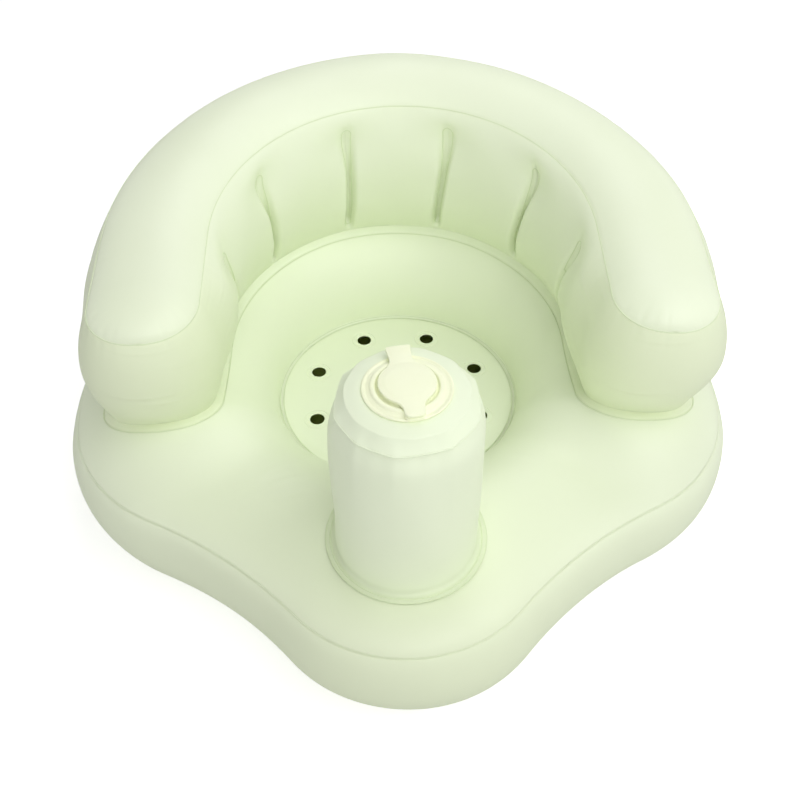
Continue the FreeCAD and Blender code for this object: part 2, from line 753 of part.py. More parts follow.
def arch_section(place, half_width, rise):
    """A domed strip of film from the inner seam to the outer one."""
    left = place((-half_width, 0))
    right = place((half_width, 0))
    points = [(-half_width, seam_level(left.y)), (half_width, seam_level(right.y))]
    half = 2 * math.atan2(rise, half_width)
    return band(place, points, [half], N.film)


def arch_along(x, y, turn):
    return arch_section(frame_at(x, y, turn), N.tube_half, N.top_rise)


def arch_tip(side):
    """Sections of one rounded arm tip, from its point to where the arm has its full width."""
    sections = []
    for share in tip_shrink_shares:
        width = N.tube_half * math.sqrt(1 - share ** 2)
        place = frame_at(side * N.arm_x, N.arm_tip_y - N.tube_half * share, side * 90)
        sections.append(arch_section(place, width, N.top_rise * width / N.tube_half))
    return sections


def backrest_top_panel():
    """One domed panel along the horseshoe, narrowing to nothing round each tip."""
    run = N.seat_y - N.arm_tip_y
    levels = [N.arm_tip_y + share * run for share in arm_run_shares]
    wires = arch_tip(1) + [arch_along(N.arm_x, y, 90) for y in levels]
    wires += [arch_along(*back_station(lean, True)[:3]) for lean in arch_leans]
    wires += [arch_along(-N.arm_x, y, -90) for y in levels[::-1]] + arch_tip(-1)[::-1]
    return shaped("backrest_top_panel", Part.makeLoft(wires, True, False))


def backrest_webs():
    """A flat web behind each crease, which ties the inner wall to the outer one."""
    for number, lean in enumerate(crease_leans(), start=1):
        station = back_station(lean, False)
        inner_place, inner_top, inner_foot, lip, ground = wall_points(station)
        outer_place, outer_top, outer_foot, lip, ground = wall_points(back_station(lean, True))
        clear = N.film + N.weld_gap
        half = wall_half(inner_top, inner_foot, N.crease_bulge)
        knee, swing = knee_of(inner_top, inner_foot, half, N.crease_pull, web_margin(station))
        low = max(inner_foot[1], outer_foot[1]) + N.web_foot_margin
        high = knee[1] - 2 * clear

        def inner_edge(z):
            share = (z - inner_foot[1]) / (knee[1] - inner_foot[1])
            return (-(inner_foot[0] + share * (knee[0] - inner_foot[0])) + clear + N.weld_gap, z)

        def outer_edge(z):
            share = (z - outer_foot[1]) / (outer_top[1] - outer_foot[1])
            straight = outer_foot[0] + share * (outer_top[0] - outer_foot[0])
            return (straight + 4 * N.outer_bulge * share * (1 - share) - clear - N.film, z)
        middle = (low + high) / 2
        outline = [bowed(outer_place, inner_edge(low), outer_edge(low), 0),
                   Part.Arc(outer_place(outer_edge(low)), outer_place(outer_edge(middle)),
                            outer_place(outer_edge(high))).toShape(),
                   bowed(outer_place, outer_edge(high), inner_edge(high), 0),
                   bowed(outer_place, inner_edge(high), inner_edge(low), 0)]
        face = Part.Face(Part.Wire(outline))
        normal = face.normalAt(0, 0)
        sheet_of_film = face.extrude(normal * N.film)
        sheet_of_film.translate(normal * (-N.film / 2))
        width = outer_edge(middle)[0] - inner_edge(middle)[0]
        radius = web_hole_share * min(width, 2 * (high - low) / web_holes)
        for step in range(web_holes):
            z = low + (high - low) * (step + 0.5) / web_holes
            centre = outer_place(((inner_edge(z)[0] + outer_edge(z)[0]) / 2, z))
            hole = Part.makeCylinder(radius, 2 * N.overrun, centre - normal * N.overrun, normal)
            sheet_of_film = sheet_of_film.cut(hole)
        shaped(f"backrest_web_{number}", sheet_of_film)


# Post with the sponge pump

def post_base():
    """Height at which the post's weld lip lies on the base."""
    return S.crown_front + S.lip_gap


def post_wall():
    body = new_body("post_wall", y=S.post_y, z=post_base())
    inside = S.post_radius - S.film
    outside = S.post_radius
    lip = S.post_radius + S.foot_lip
    revolve(body, "wall", [(inside, NOTHING), (lip, NOTHING), (lip, S.film), (outside, S.film),
                           (outside, S.post_height), (inside, S.post_height)])


def post_top_panel():
    """The level top with its sloping rim, holed for the valve's neck."""
    body = new_body("post_top_panel", y=S.post_y, z=post_base() + S.post_height + S.run_gap)
    hole = S.bore_radius + S.neck_wall + S.weld_gap
    revolve(body, "top", [(S.post_radius, NOTHING), (S.post_radius, S.film),
                          (S.post_top_radius, S.post_top_rise + S.film), (hole, S.post_top_rise + S.film),
                          (hole, S.post_top_rise), (S.post_top_radius, S.post_top_rise),
                          (S.post_radius - S.film, NOTHING)])


def pump_foam():
    """The sponge that springs the post back, with an air way and a seat for the check valve."""
    body = new_body("pump_foam", y=S.post_y, z=S.crown_front + S.weld_gap)
    seat = S.check_flange + S.run_gap
    top = S.post_height - S.run_gap
    revolve(body, "sponge", [(seat, NOTHING), (S.foam_radius, NOTHING), (S.foam_radius, top),
                             (S.foam_bore, top), (S.foam_bore, S.foam_seat), (seat, S.foam_seat)])


def check_valve():
    """The moulded ring in the base's top panel under the sponge, and its flap."""
    body = new_body("check_valve_body", y=S.post_y, z=S.crown_front + S.weld_gap)
    neck = S.check_bore + S.neck_wall
    revolve(body, "ring", [(S.check_bore, -S.check_depth), (neck, -S.check_depth), (neck, NOTHING),
                           (S.check_flange, NOTHING), (S.check_flange, S.flange_thick),
                           (S.check_bore, S.flange_thick)])
    flap(new_body("check_valve_flap", y=S.post_y,
                  z=S.crown_front + S.weld_gap - S.check_depth - S.run_gap - S.flap_thick))


def flap(body):
    """A round flap with a straight tail to its hinge line."""
    disc = circle_sketch(body, "flap_plan", "XY_Plane", S.flap_radius)
    pad(body, disc, "flap_disc", S.flap_thick)
    half = S.flap_tail_width / 2
    tail = polygon(body, "tail_plan", "XY_Plane",
                   [(-half, NOTHING), (half, NOTHING), (half, S.flap_tail), (-half, S.flap_tail)])
    pad(body, tail, "tail", S.flap_thick)


def valve_seat():
    """Height of the intake valve's flange on the post's top panel."""
    return post_base() + S.post_height + S.run_gap + S.post_top_rise + S.film + S.weld_gap


def intake_valve_body():
    body = new_body("intake_valve_body", y=S.post_y, z=valve_seat())
    neck = S.bore_radius + S.neck_wall
    top = S.flange_thick + S.step_rise
    revolve(body, "ring", [(S.bore_radius, -S.socket_depth), (neck, -S.socket_depth), (neck, NOTHING),
                           (S.flange_radius, NOTHING), (S.flange_radius, S.flange_thick),
                           (S.step_radius, S.flange_thick), (S.step_radius - S.cap_edge, top),
                           (S.bore_radius, top)])
    half = S.strap_width / 2
    lug = polygon(body, "lug_plan", "XY_Plane",
                  [(-half, -S.strap_end), (half, -S.strap_end), (half, -S.bore_radius - S.neck_wall),
                   (-half, -S.bore_radius - S.neck_wall)])
    pad(body, lug, "strap_lug", top)
    turn_body(body, cap_turn)


def tongue(body, name, root, end, reach, way):
    """A flat tongue that leaves the cap in two hollow curves, to the back where way is 1."""
    across = root + N.cap_throat
    far = N.cap_radius + N.cap_throat
    along = math.sqrt(far ** 2 - across ** 2)
    swing = (math.pi + math.atan2(along, across)) / 2 + math.pi / 2
    share = N.cap_radius / far

    def spot(side, x, y):
        return Vector(side * x, way * y, 0)

    def throat(side):
        return [spot(side, across * share, along * share),
                spot(side, across + N.cap_throat * math.cos(swing), along + N.cap_throat * math.sin(swing)),
                spot(side, root, along)]
    right = throat(1)
    left = throat(-1)
    corners = [right[2], spot(1, end, reach), spot(-1, end, reach), left[2]]
    sketch = sketch_on(body, f"{name}_plan", "XY_Plane")
    hold(sketch, Part.Arc(*right))
    for first, second in zip(corners, corners[1:]):
        hold(sketch, Part.LineSegment(first, second))
    hold(sketch, Part.Arc(*left[::-1]))
    hold(sketch, Part.LineSegment(left[0], right[0]))
    pad(body, sketch, name, S.tab_thick)


def intake_cap():
    """Cap with its plug, the flared pull tab at the back and the hinge strap at the front."""
    body = new_body("intake_cap", y=S.post_y, z=valve_seat() + S.flange_thick + S.step_rise + S.run_gap)
    revolve(body, "cap", [(NOTHING, -S.plug_length), (S.plug_end, -S.plug_length), (S.plug_root, NOTHING),
                          (S.cap_radius, NOTHING), (S.cap_radius, S.cap_thick - S.cap_edge),
                          (S.cap_radius - S.cap_edge, S.cap_thick), (NOTHING, S.cap_thick)])
    tongue(body, "tab", N.tab_root / 2, N.tab_end / 2, N.tab_reach, 1)
    tongue(body, "strap", N.strap_width / 2, N.strap_width / 2, N.strap_end, -1)
    round_corners(body, "strap_corners", S.strap_corner, N.strap_end, N.tab_reach)
    round_corners(body, "tab_corners", S.tab_corner, N.tab_reach, N.tab_reach + N.tab_end)
    turn_body(body, cap_turn)


def release_seat():
    """Distance of the release valve's flange behind the middle: the belly of the outer wall."""
    station = back_station(0, True)
    place, top, foot, lip, ground = wall_points(station)
    share = (N.release_height - foot[1]) / (top[1] - foot[1])
    belly = foot[0] + share * (top[0] - foot[0]) + 4 * N.outer_bulge * share * (1 - share)
    return place((belly, 0)).y


def upright(body, back):
    """Lays a body's own Z axis along +Y, at a distance behind the middle."""
    body.Placement = FreeCAD.Placement(Vector(0, back, N.release_height),
                                       FreeCAD.Rotation(Vector(1, 0, 0), -90))
    body.setExpression("Placement.Base.z", S.release_height.text)
    body.setExpression("Placement.Base.y", None)


def release_valve():
    """Deflating valve in the back: body, plug on its strap, and the inner flap."""
    seat = release_seat() + N.weld_gap
    body = new_body("release_valve_body")
    neck = S.release_bore + S.neck_wall
    revolve(body, "ring", [(S.release_bore, -S.release_neck), (neck, -S.release_neck), (neck, NOTHING),
                           (S.release_flange, NOTHING), (S.release_flange, S.flange_thick),
                           (S.release_bore, S.flange_thick)])
    upright(body, seat)
    plug = new_body("release_plug")
    revolve(plug, "plug", [(NOTHING, -S.release_plug_length), (S.release_plug_end, -S.release_plug_length),
                           (S.release_plug_root, NOTHING), (S.release_cap, NOTHING),
                           (S.release_cap, S.release_cap_thick), (NOTHING, S.release_cap_thick)])
    half = S.release_strap_width / 2
    strap = polygon(plug, "strap_plan", "XY_Plane",
                    [(-half, S.release_plug_root), (half, S.release_plug_root),
                     (half, S.release_strap_end), (-half, S.release_strap_end)])
    pad(plug, strap, "strap", S.tab_thick)
    upright(plug, seat + N.flange_thick + N.run_gap)
    gate = new_body("release_flap")
    flap(gate)
    upright(gate, seat - N.release_neck - N.run_gap - N.flap_thick)


base_top_panel()
shaped("base_side_wall", ring_loft(side_wall_section))
base_bottom_panel()
seat_floor()
backrest_inner_wall()
backrest_outer_wall()
backrest_top_panel()
backrest_webs()
post_wall()
post_top_panel()
pump_foam()
check_valve()
intake_valve_body()
intake_cap()
release_valve()

doc.recompute()
faults = [item.Label for item in doc.Objects if "Invalid" in item.State or "Error" in item.State]
faults += [node.Label for node in nodes if node.Shape.isNull() or not node.Shape.isValid()]
if faults:
    raise RuntimeError("failed: " + ", ".join(sorted(set(faults))))
os.makedirs("parts", exist_ok=True)
for node in nodes:
    node.Shape.exportStep(os.path.join("parts", f"{node.Label}.step"))
    box = node.Shape.BoundBox
    print(f"{node.Label}: {len(node.Shape.Solids)} solid(s), {node.Shape.Volume:.0f} mm3, "
          f"x {box.XMin:.1f}..{box.XMax:.1f}, y {box.YMin:.1f}..{box.YMax:.1f}, "
          f"z {box.ZMin:.1f}..{box.ZMax:.1f}")
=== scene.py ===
# %% [markdown]
# # Inflatable baby sofa
# The seat is a bag of thin vinyl film, cut as flat panels and welded along their edges. Air does the rest,
# so every surface is a full, tight curve between two welds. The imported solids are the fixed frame: they say
# where each panel is and what moves. This lesson gives each panel its inflated form, its welds and its
# finish.

# %% Load the frame
import math
import bmesh
import bpy
import numpy as np
from mathutils import Matrix, Vector


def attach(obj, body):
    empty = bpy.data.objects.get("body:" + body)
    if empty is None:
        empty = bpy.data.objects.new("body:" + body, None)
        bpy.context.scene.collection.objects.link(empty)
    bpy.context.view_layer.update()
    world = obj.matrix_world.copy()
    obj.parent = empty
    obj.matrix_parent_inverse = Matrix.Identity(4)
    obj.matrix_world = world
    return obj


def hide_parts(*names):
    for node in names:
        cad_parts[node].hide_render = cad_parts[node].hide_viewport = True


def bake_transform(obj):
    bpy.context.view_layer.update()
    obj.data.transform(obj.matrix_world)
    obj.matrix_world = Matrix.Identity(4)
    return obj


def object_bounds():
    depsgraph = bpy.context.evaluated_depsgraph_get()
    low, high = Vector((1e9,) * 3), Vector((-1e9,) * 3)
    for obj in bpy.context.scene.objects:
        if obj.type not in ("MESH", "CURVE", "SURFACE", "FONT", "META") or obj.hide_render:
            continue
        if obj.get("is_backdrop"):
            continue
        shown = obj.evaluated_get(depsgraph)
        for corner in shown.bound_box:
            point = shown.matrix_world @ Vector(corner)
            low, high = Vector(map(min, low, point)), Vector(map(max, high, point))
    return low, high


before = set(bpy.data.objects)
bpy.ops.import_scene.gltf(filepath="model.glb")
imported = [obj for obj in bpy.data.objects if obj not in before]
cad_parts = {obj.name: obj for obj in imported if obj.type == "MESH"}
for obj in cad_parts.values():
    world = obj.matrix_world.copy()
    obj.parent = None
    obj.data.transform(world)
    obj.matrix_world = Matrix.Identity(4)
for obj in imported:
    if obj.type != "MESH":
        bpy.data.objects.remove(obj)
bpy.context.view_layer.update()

# %% [markdown]
# ## Camera, floor and light
# The view was worked out from the ring of drain holes and the seams, so the camera is placed by its own
# axes and not aimed by eye. The light is a broad window from the upper right, a second one high in front and
# a weak one behind, in a room whose walls are brighter than its ceiling, as for a catalogue picture. The
# floor glows a little to camera rays alone, so it looks white and still takes the shadow. Under the seat it
# does not glow, and there its paper is painted yellow-green, a painted green shade for the light that comes
# through the film, so the drain holes look into a dark green.

# %% Camera at the picture's viewing angle
SENSOR_WIDTH, LENS = 36, 42.77
EYE = (-0.0175, -0.559, 0.645)
BACKWARD, SIDEWAYS = (-0.0233, -0.6959, 0.7178), (0.9994, -0.0335, 0)

camera = bpy.data.objects.new("camera", bpy.data.cameras.new("camera"))
bpy.context.collection.objects.link(camera)
camera.data.sensor_width = SENSOR_WIDTH
camera.data.lens = LENS
backward = Vector(BACKWARD).normalized()
sideways = Vector(SIDEWAYS).normalized()
turned = Matrix((sideways, backward.cross(sideways), backward)).transposed().to_4x4()
camera.matrix_world = Matrix.Translation(EYE) @ turned
bpy.context.scene.camera = camera
bpy.context.scene.view_settings.view_transform = "Standard"
print("camera at", [round(value, 3) for value in camera.location])


# %% One function for every node, and three for what comes often
def add(tree, kind, inputs=(), **settings):
    """Adds a node with its settings. Each input is a value, or the socket that feeds it."""
    made = tree.nodes.new(kind)
    for name, value in settings.items():
        setattr(made, name, value)
    for key, value in dict(inputs).items():
        if isinstance(value, bpy.types.NodeSocket):
            tree.links.new(value, made.inputs[key])
        else:
            made.inputs[key].default_value = value
    return made


def ramp(tree, value, start, end, first=0.0, last=1.0):
    """Carries a value from the range start to end over to the range first to last."""
    return add(tree, "ShaderNodeMapRange", {0: value, 1: start, 2: end, 3: first, 4: last}).outputs[0]


def colour(code):
    """A colour written as sRGB hex, in the linear values that shaders use."""
    parts = [int(code[place:place + 2], 16) / 255 for place in (1, 3, 5)]
    return [part / 12.92 if part <= 0.04045 else ((part + 0.055) / 1.055) ** 2.4 for part in parts] + [1.0]


def mixed(tree, share, first, second):
    """The first colour at share 0 and the second at share 1."""
    return add(tree, "ShaderNodeMix", {0: share, 6: first, 7: second}, data_type="RGBA").outputs[2]


# %% Room with bright walls
WALL_LIGHT, CEILING_LIGHT, CEILING_RISE = 1.26, 0.17, 0.6

world = bpy.data.worlds.new("studio")
bpy.context.scene.world = world
world.use_nodes = True
tree = world.node_tree
tree.nodes.clear()
path = add(tree, "ShaderNodeLightPath")
seen = path.outputs["Is Camera Ray"]
for ray in ("Is Glossy Ray", "Is Transmission Ray"):
    seen = add(tree, "ShaderNodeMath", {0: seen, 1: path.outputs[ray]}, operation="MAXIMUM").outputs[0]
way = add(tree, "ShaderNodeTexCoord")
rise = add(tree, "ShaderNodeSeparateXYZ", {0: way.outputs["Generated"]})
walls = ramp(tree, rise.outputs[2], 0.0, CEILING_RISE, WALL_LIGHT, CEILING_LIGHT)
sky = add(tree, "ShaderNodeBackground", {0: colour("#FFFFFF"), 1: ramp(tree, seen, 0.0, 1.0, walls)})
add(tree, "ShaderNodeOutputWorld", {0: sky.outputs[0]})

# %% White paper floor
FLOOR_REACH, FLOOR_DROP, FLOOR_GLOW = 4.0, 0.0006, 0.58
DARK_MIDDLE, DARK_RADIUS, GLOW_RADIUS = (0, 0.03, 0), 0.16, 0.2

floor_paint = bpy.data.materials.new("white_paper_floor")
floor_paint.use_nodes = True
tree = floor_paint.node_tree
tree.nodes.clear()
path = add(tree, "ShaderNodeLightPath")
place = add(tree, "ShaderNodeTexCoord")
place = add(tree, "ShaderNodeVectorMath", {0: place.outputs["Object"], 1: DARK_MIDDLE}, operation="SUBTRACT")
span = add(tree, "ShaderNodeVectorMath", {0: place.outputs[0]}, operation="LENGTH").outputs["Value"]
strength = ramp(tree, span, DARK_RADIUS, GLOW_RADIUS, 0.0, FLOOR_GLOW)
open_share = ramp(tree, span, DARK_RADIUS, GLOW_RADIUS)
# Painted green shade: under the seat the paper turns yellow-green, for the light that comes through the film.
paper_with_painted_green_shade = mixed(tree, open_share, colour("#F0FF96"), colour("#E4E4E2"))
paper = add(tree, "ShaderNodeBsdfDiffuse", {0: paper_with_painted_green_shade}).outputs[0]
glow = add(tree, "ShaderNodeEmission", {0: colour("#FFFFFF"), 1: strength}).outputs[0]
bright = add(tree, "ShaderNodeAddShader", {0: paper, 1: glow}).outputs[0]
shown = add(tree, "ShaderNodeMixShader", {0: path.outputs["Is Camera Ray"], 1: paper, 2: bright})
add(tree, "ShaderNodeOutputMaterial", {0: shown.outputs[0]})

floor_mesh = bpy.data.meshes.new("floor")
corners = [(x * FLOOR_REACH, y * FLOOR_REACH, 0) for x, y in ((-1, -1), (1, -1), (1, 1), (-1, 1))]
floor_mesh.from_pydata(corners, [], [(0, 1, 2, 3)])
floor_mesh.materials.append(floor_paint)
floor = bpy.data.objects.new("floor", floor_mesh)
bpy.context.collection.objects.link(floor)
floor.location.z = -FLOOR_DROP
floor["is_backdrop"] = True

# %% Windows
AIM = Vector((0, 0.02, 0.1))
WINDOWS = [("window", (0.85, -0.35, 1.75), 1.3, 10.6),
           ("front", (0.2, -1.2, 1.5), 1.2, 9.3),
           ("rear", (0.15, 0.9, 1.6), 1.0, 5.2)]

for name, place, size, watts in WINDOWS:
    lamp = bpy.data.lights.new(name, "AREA")
    lamp.shape = "DISK"
    lamp.size = size
    lamp.energy = watts
    held = bpy.data.objects.new(name, lamp)
    bpy.context.collection.objects.link(held)
    held.location = place
    held.rotation_euler = (AIM - Vector(place)).to_track_quat("-Z", "Y").to_euler()
print("lights:", [lamp.name for lamp in bpy.data.lights])

# %% [markdown]
# ## Sizes
# The panels follow the same welds as the solids, so the same sizes come back here, in millimetres. Every mesh
# is made in millimetres and turned to metres once, where its points are handed to Blender.

# %% Sizes of the seat, in millimetres
MM = 0.001
FILM = 0.5
FULLNESS = 0.95
SEAT_Y = 23.0
FLOOR_RADIUS, FLOOR_LIP, FLOOR_HEIGHT = 102.5, 3.5, 52.5
DRAIN_RADIUS, DRAIN_CIRCLE, DRAIN_COUNT = 6.5, 75.0, 8
FRONT_REACH, BACK_REACH = 263.0, 263.0
FRONT_LOBE, SIDE_LOBE, SIDE_X, SIDE_Y, WAIST = 110.5, 137.0, 128.0, -23.0, 350.0
GIRTH_HEIGHT, SEAM_HEIGHT, SEAM_INSET, TREAD_INSET, RISER_FOOT = 57.0, 92.0, 8.6, 34.0, 152.0
CROWN_TURNS = (0, 44, 64, 105, 180)
CROWN_HEIGHTS = (104.0, 103.0, 121.0, 126.0, 129.0)
CROWN_FLAT, PAD_TURN = 12.0, 32.0
FULL_FRONT, FULL_TURN, FULL_SPREAD = 3.6, 14.0, 38.0
ARM_X, ARM_TIP_Y, TUBE_HALF, TUBE_HEIGHT = 181.5, -44.0, 36.0, 175.0
TIP_SEAM, BACK_SEAM, TOP_RISE = 208.0, 256.0, 15.0
OUTER_BULGE, FLUTE_BULGE, TIP_BULGE, CREASE_BULGE = 17.0, 17.5, 12.0, 5.0
CREASE_PULL, WEB_TOP, WEB_STEP, WEB_FOOT = 2.0, 15.0, 3.5, 12.0
FOOT_IN_BACK, FOOT_IN_ARM, FOOT_TIP, FOOT_OUT_ARM, FOOT_OUT_BACK = 33.0, 38.0, 25.0, 42.0, 32.0
FOOT_LIP, LIP_GAP = 7.0, 0.35
FIRST_CREASE, CREASE_PITCH, CREASE_COUNT = 15.75, 31.5, 6
CREASES = [FIRST_CREASE + CREASE_PITCH * (step - CREASE_COUNT / 2) for step in range(CREASE_COUNT)]
FLUTE_RADIUS, PUFF_HALF, FAN, FAN_LEFT = 148.0, 40.7, 0.17, 0.215
SLOT_TOP, SLOT_LOW, GROOVE_WIDTH, GROOVE_TOP, GROOVE_LOW = 3.6, 0.9, 2.4, 1.4, 11.0
FULLER_RIGHT, FULLER_LEFT, SWAY = 9.0, 2.5, (4.5, 3.0)
RELEASE_HEIGHT, RELEASE_HOLE = 182.0, 9.8
POST_Y, POST_RADIUS, POST_FOOT, POST_TOP = -165.5, 49.0, 104.35, 242.85
POST_SEAM, POST_SEAM_RADIUS = 237.6, 45.0
FOLD_RADIUS, FOLD_HEIGHT, FLANGE_RADIUS = 38.0, 245.0, 27.5
VALVE_SEAT, CAP_TURN = 248.8, 9.0


# %% [markdown]
# ## From a grid of points to a sheet of film
# A welded panel is one sheet, so it is made as one grid: rows run from weld to weld and columns run along the
# weld. A Solidify modifier could give it thickness. Here the second side is made from the grid's own normals,
# which keeps the weld edges exactly where the sizes put them.

# %% Sheets of film
def place_piece(name, points, faces):
    """A smooth mesh object from points in millimetres."""
    mesh = bpy.data.meshes.new(name)
    mesh.from_pydata((np.asarray(points) * MM).tolist(), [], faces)
    mesh.validate()
    mesh.polygons.foreach_set("use_smooth", [True] * len(mesh.polygons))
    piece = bpy.data.objects.new(name, mesh)
    bpy.context.collection.objects.link(piece)
    return piece


def outward(grid, inside, round_way=False):
    """Unit normals of a grid (rows, columns, 3) that face away from inside, and -1 if they had to be turned.

    With round_way the grid's columns close on themselves.
    """
    if round_way:
        along = np.roll(grid, -1, axis=1) - np.roll(grid, 1, axis=1)
    else:
        along = np.gradient(grid, axis=1)
    normal = np.cross(along, np.gradient(grid, axis=0))
    normal = normal / np.maximum(np.linalg.norm(normal, axis=2, keepdims=True), 1e-9)
    way = np.sign(np.sum((grid - np.asarray(inside)) * normal))
    return normal * way, way


def film_sheet(name, grid, inside, round_way=False, left_out=None):
    """A closed thin solid. The grid is its outer side, and inside is a point or points behind it.

    Faces that left_out marks are a hole through the sheet.
    """
    rows, columns = grid.shape[:2]
    normal, way = outward(grid, inside, round_way)
    points = np.concatenate([grid.reshape(-1, 3), (grid - FILM * normal).reshape(-1, 3)])
    back = rows * columns
    number = np.arange(back).reshape(rows, columns)
    if round_way:
        number = np.concatenate([number, number[:, :1]], axis=1)
    corners = [number[:-1, :-1], number[:-1, 1:], number[1:, 1:], number[1:, :-1]]
    quads = np.stack(corners, axis=-1).reshape(-1, 4)
    if left_out is not None:
        quads = quads[~left_out.reshape(-1)]
    start = quads.reshape(-1)
    end = np.roll(quads, -1, axis=1).reshape(-1)
    rim = ~np.isin(end * back + start, start * back + end)
    start, end = start[rim], end[rim]
    sides = np.stack([end, start, start + back, end + back], axis=-1)
    faces = np.concatenate([quads, quads[:, ::-1] + back, sides])
    if way < 0:
        faces = faces[:, ::-1]
    used, faces = np.unique(faces, return_inverse=True)
    return place_piece(name, points[used], faces.reshape(-1, 4).tolist())


def pushed(grid, lift, inside, round_way=False):
    """Moves a grid along its normals, away from a point or points inside the chamber."""
    return grid + lift[..., None] * outward(grid, inside, round_way)[0]


# %% Curves that the panels share
def sin_cos(degrees):
    return np.sin(np.radians(degrees)), np.cos(np.radians(degrees))


def smooth_step(value, start, end):
    part = np.clip((value - start) / (end - start), 0, 1)
    return part * part * (3 - 2 * part)


def ease(value, start, end):
    part = np.clip((value - start) / (end - start), 0, 1)
    return 0.5 - 0.5 * np.cos(np.pi * part)


def crowd(count):
    """Shares from 0 to 1 that crowd towards both ends, for fine rows beside a weld."""
    return 0.5 - 0.5 * np.cos(np.pi * np.linspace(0, 1, count))


def smoothed(rows, passes):
    """Evens out a run of rows, with its first and last held."""
    rows = rows.copy()
    for step in range(passes):
        rows[1:-1] = (rows[:-2] + 2 * rows[1:-1] + rows[2:]) / 4
    return rows


def bow(start, end, half, shares):
    """Arcs from start to end, many at once, that swell to the left. Gives (share, arc, 2)."""
    half = np.where(np.abs(half) < 1e-4, 1e-4, half)
    swing = half * (2 * shares - 1)[:, None]
    chord = end - start
    length = np.linalg.norm(chord, axis=-1)
    left = np.stack([-chord[..., 1], chord[..., 0]], axis=-1) / length[..., None]
    along = 0.5 + 0.5 * np.sin(swing) / np.sin(half)
    rise = length / 2 * (np.cos(swing) - np.cos(half)) / np.sin(half)
    return start + chord * along[..., None] + left * rise[..., None]


def arc_half(low, high):
    """Half the angle of a full arc between two points (radius, height)."""
    slope = np.arctan2(np.abs(high[:, 1] - low[:, 1]), np.abs(high[:, 0] - low[:, 0]))
    return FULLNESS * np.minimum(slope, np.pi / 2 - slope)


def along_rows(grid):
    """Distance of each row's point from the first row, along its column."""
    steps = np.linalg.norm(np.diff(grid, axis=0), axis=2)
    return np.concatenate([np.zeros((1, grid.shape[1])), np.cumsum(steps, axis=0)])


# %% Unevenness of filled film
def waves(points, length, count, seed):
    """Smooth unevenness between about -1 and 1, from seeded sine waves of about one wavelength."""
    dice = np.random.default_rng(seed)
    total = np.zeros(points.shape[:-1])
    for step in range(count):
        way = dice.normal(size=points.shape[-1])
        way *= dice.uniform(0.7, 1.3) / np.linalg.norm(way)
        total += np.sin(points @ way * (2 * np.pi / length) + dice.uniform(0, 2 * np.pi))
    return total / math.sqrt(count)


def uneven(grid, away, height, length, seed, calm):
    """Waves over a panel that die out towards its welds. At the distance calm they have half their height."""
    return height * waves(grid, length, 6, seed) * away / (away + calm)


def puckers(along, away, height, decay, seed):
    """Small gathers beside a weld: waves along it that die out with the distance from it, in patches."""
    dice = np.random.default_rng(seed)
    total = np.zeros(np.shape(along))
    for step in range(5):
        total = total + np.cos(2 * np.pi * along / dice.uniform(9, 24) + dice.uniform(0, 6.3))
    patch = 0.5 + 0.5 * np.cos(2 * np.pi * along / dice.uniform(120, 170) + dice.uniform(0, 6.3))
    return height * total / 5 * patch * np.exp(-away / decay) * (1 - np.exp(-away / 2))


def dent(away, depth=0.35, width=1.3):
    """The fine valley in which a weld line lies."""
    return -depth * np.exp(-(away / width) ** 2)


print("sheet tools ready")

# %% [markdown]
# ## The base's plan and section
# Seen from above the base is a clover of tangent arcs: a front lobe under the post, two side lobes and a
# broad back, with a shallow waist where each leg passes. One section is swept round the seat's centre: from
# the seat floor up the well, over the crown and down to the seam.

# %% Plan of the base
def plan_arcs():
    """Centre and radius of the front lobe, waist, side lobe and back, on the right-hand side."""
    front = (0.0, FRONT_LOBE - FRONT_REACH, FRONT_LOBE)
    side = (SIDE_X, SIDE_Y, SIDE_LOBE)
    depth = BACK_REACH - SIDE_Y
    wide = (SIDE_X ** 2 + depth ** 2 - SIDE_LOBE ** 2) / (2 * (depth - SIDE_LOBE))
    back = (0.0, BACK_REACH - wide, wide)
    span = math.hypot(side[0] - front[0], side[1] - front[1])
    along = ((FRONT_LOBE + WAIST) ** 2 - (SIDE_LOBE + WAIST) ** 2 + span ** 2) / (2 * span)
    across = math.sqrt((FRONT_LOBE + WAIST) ** 2 - along ** 2)
    ux = (side[0] - front[0]) / span
    uy = (side[1] - front[1]) / span
    waist = (front[0] + ux * along + uy * across, front[1] + uy * along - ux * across, WAIST)
    return [front, waist, side, back]


ARCS = plan_arcs()


def turn_of(x, y):
    """Direction from the seat's centre, in degrees from the front, positive to the right."""
    return np.degrees(np.arctan2(x, SEAT_Y - y))


def outline_radius(turn, inset=0.0):
    """Distance from the seat's centre to the plan, drawn in by inset."""
    turn = np.abs((np.asarray(turn, float) + 180) % 360 - 180)
    limits = []
    for first, second in ((0, 1), (2, 1), (3, 2)):
        start = np.array(ARCS[first][:2])
        step = np.array(ARCS[second][:2]) - start
        joint = start + step / np.linalg.norm(step) * (ARCS[first][2] - inset)
        limits.append(float(turn_of(*joint)))
    which = np.searchsorted(limits, turn)
    circle = np.array(ARCS)[which]
    hollow = which == 1
    radius = circle[..., 2] + np.where(hollow, inset, -inset)
    x, y = circle[..., 0], circle[..., 1] - SEAT_Y
    sine, cosine = sin_cos(turn)
    along = sine * x - cosine * y
    root = np.sqrt(along ** 2 - x ** 2 - y ** 2 + radius ** 2)
    return np.where(hollow, along - root, along + root)


def crown_height(turn):
    height = np.full(np.shape(turn), CROWN_HEIGHTS[0])
    for first, second, low, high in zip(CROWN_TURNS, CROWN_TURNS[1:], CROWN_HEIGHTS, CROWN_HEIGHTS[1:]):
        height = height + (high - low) * ease(turn, first, second)
    return height


def swept(turn, section):
    """Turns sections (row, column, 2) of radius and height into space round the seat's centre."""
    sine, cosine = sin_cos(turn)
    return np.stack([section[..., 0] * sine, SEAT_Y - section[..., 0] * cosine, section[..., 1]], axis=-1)


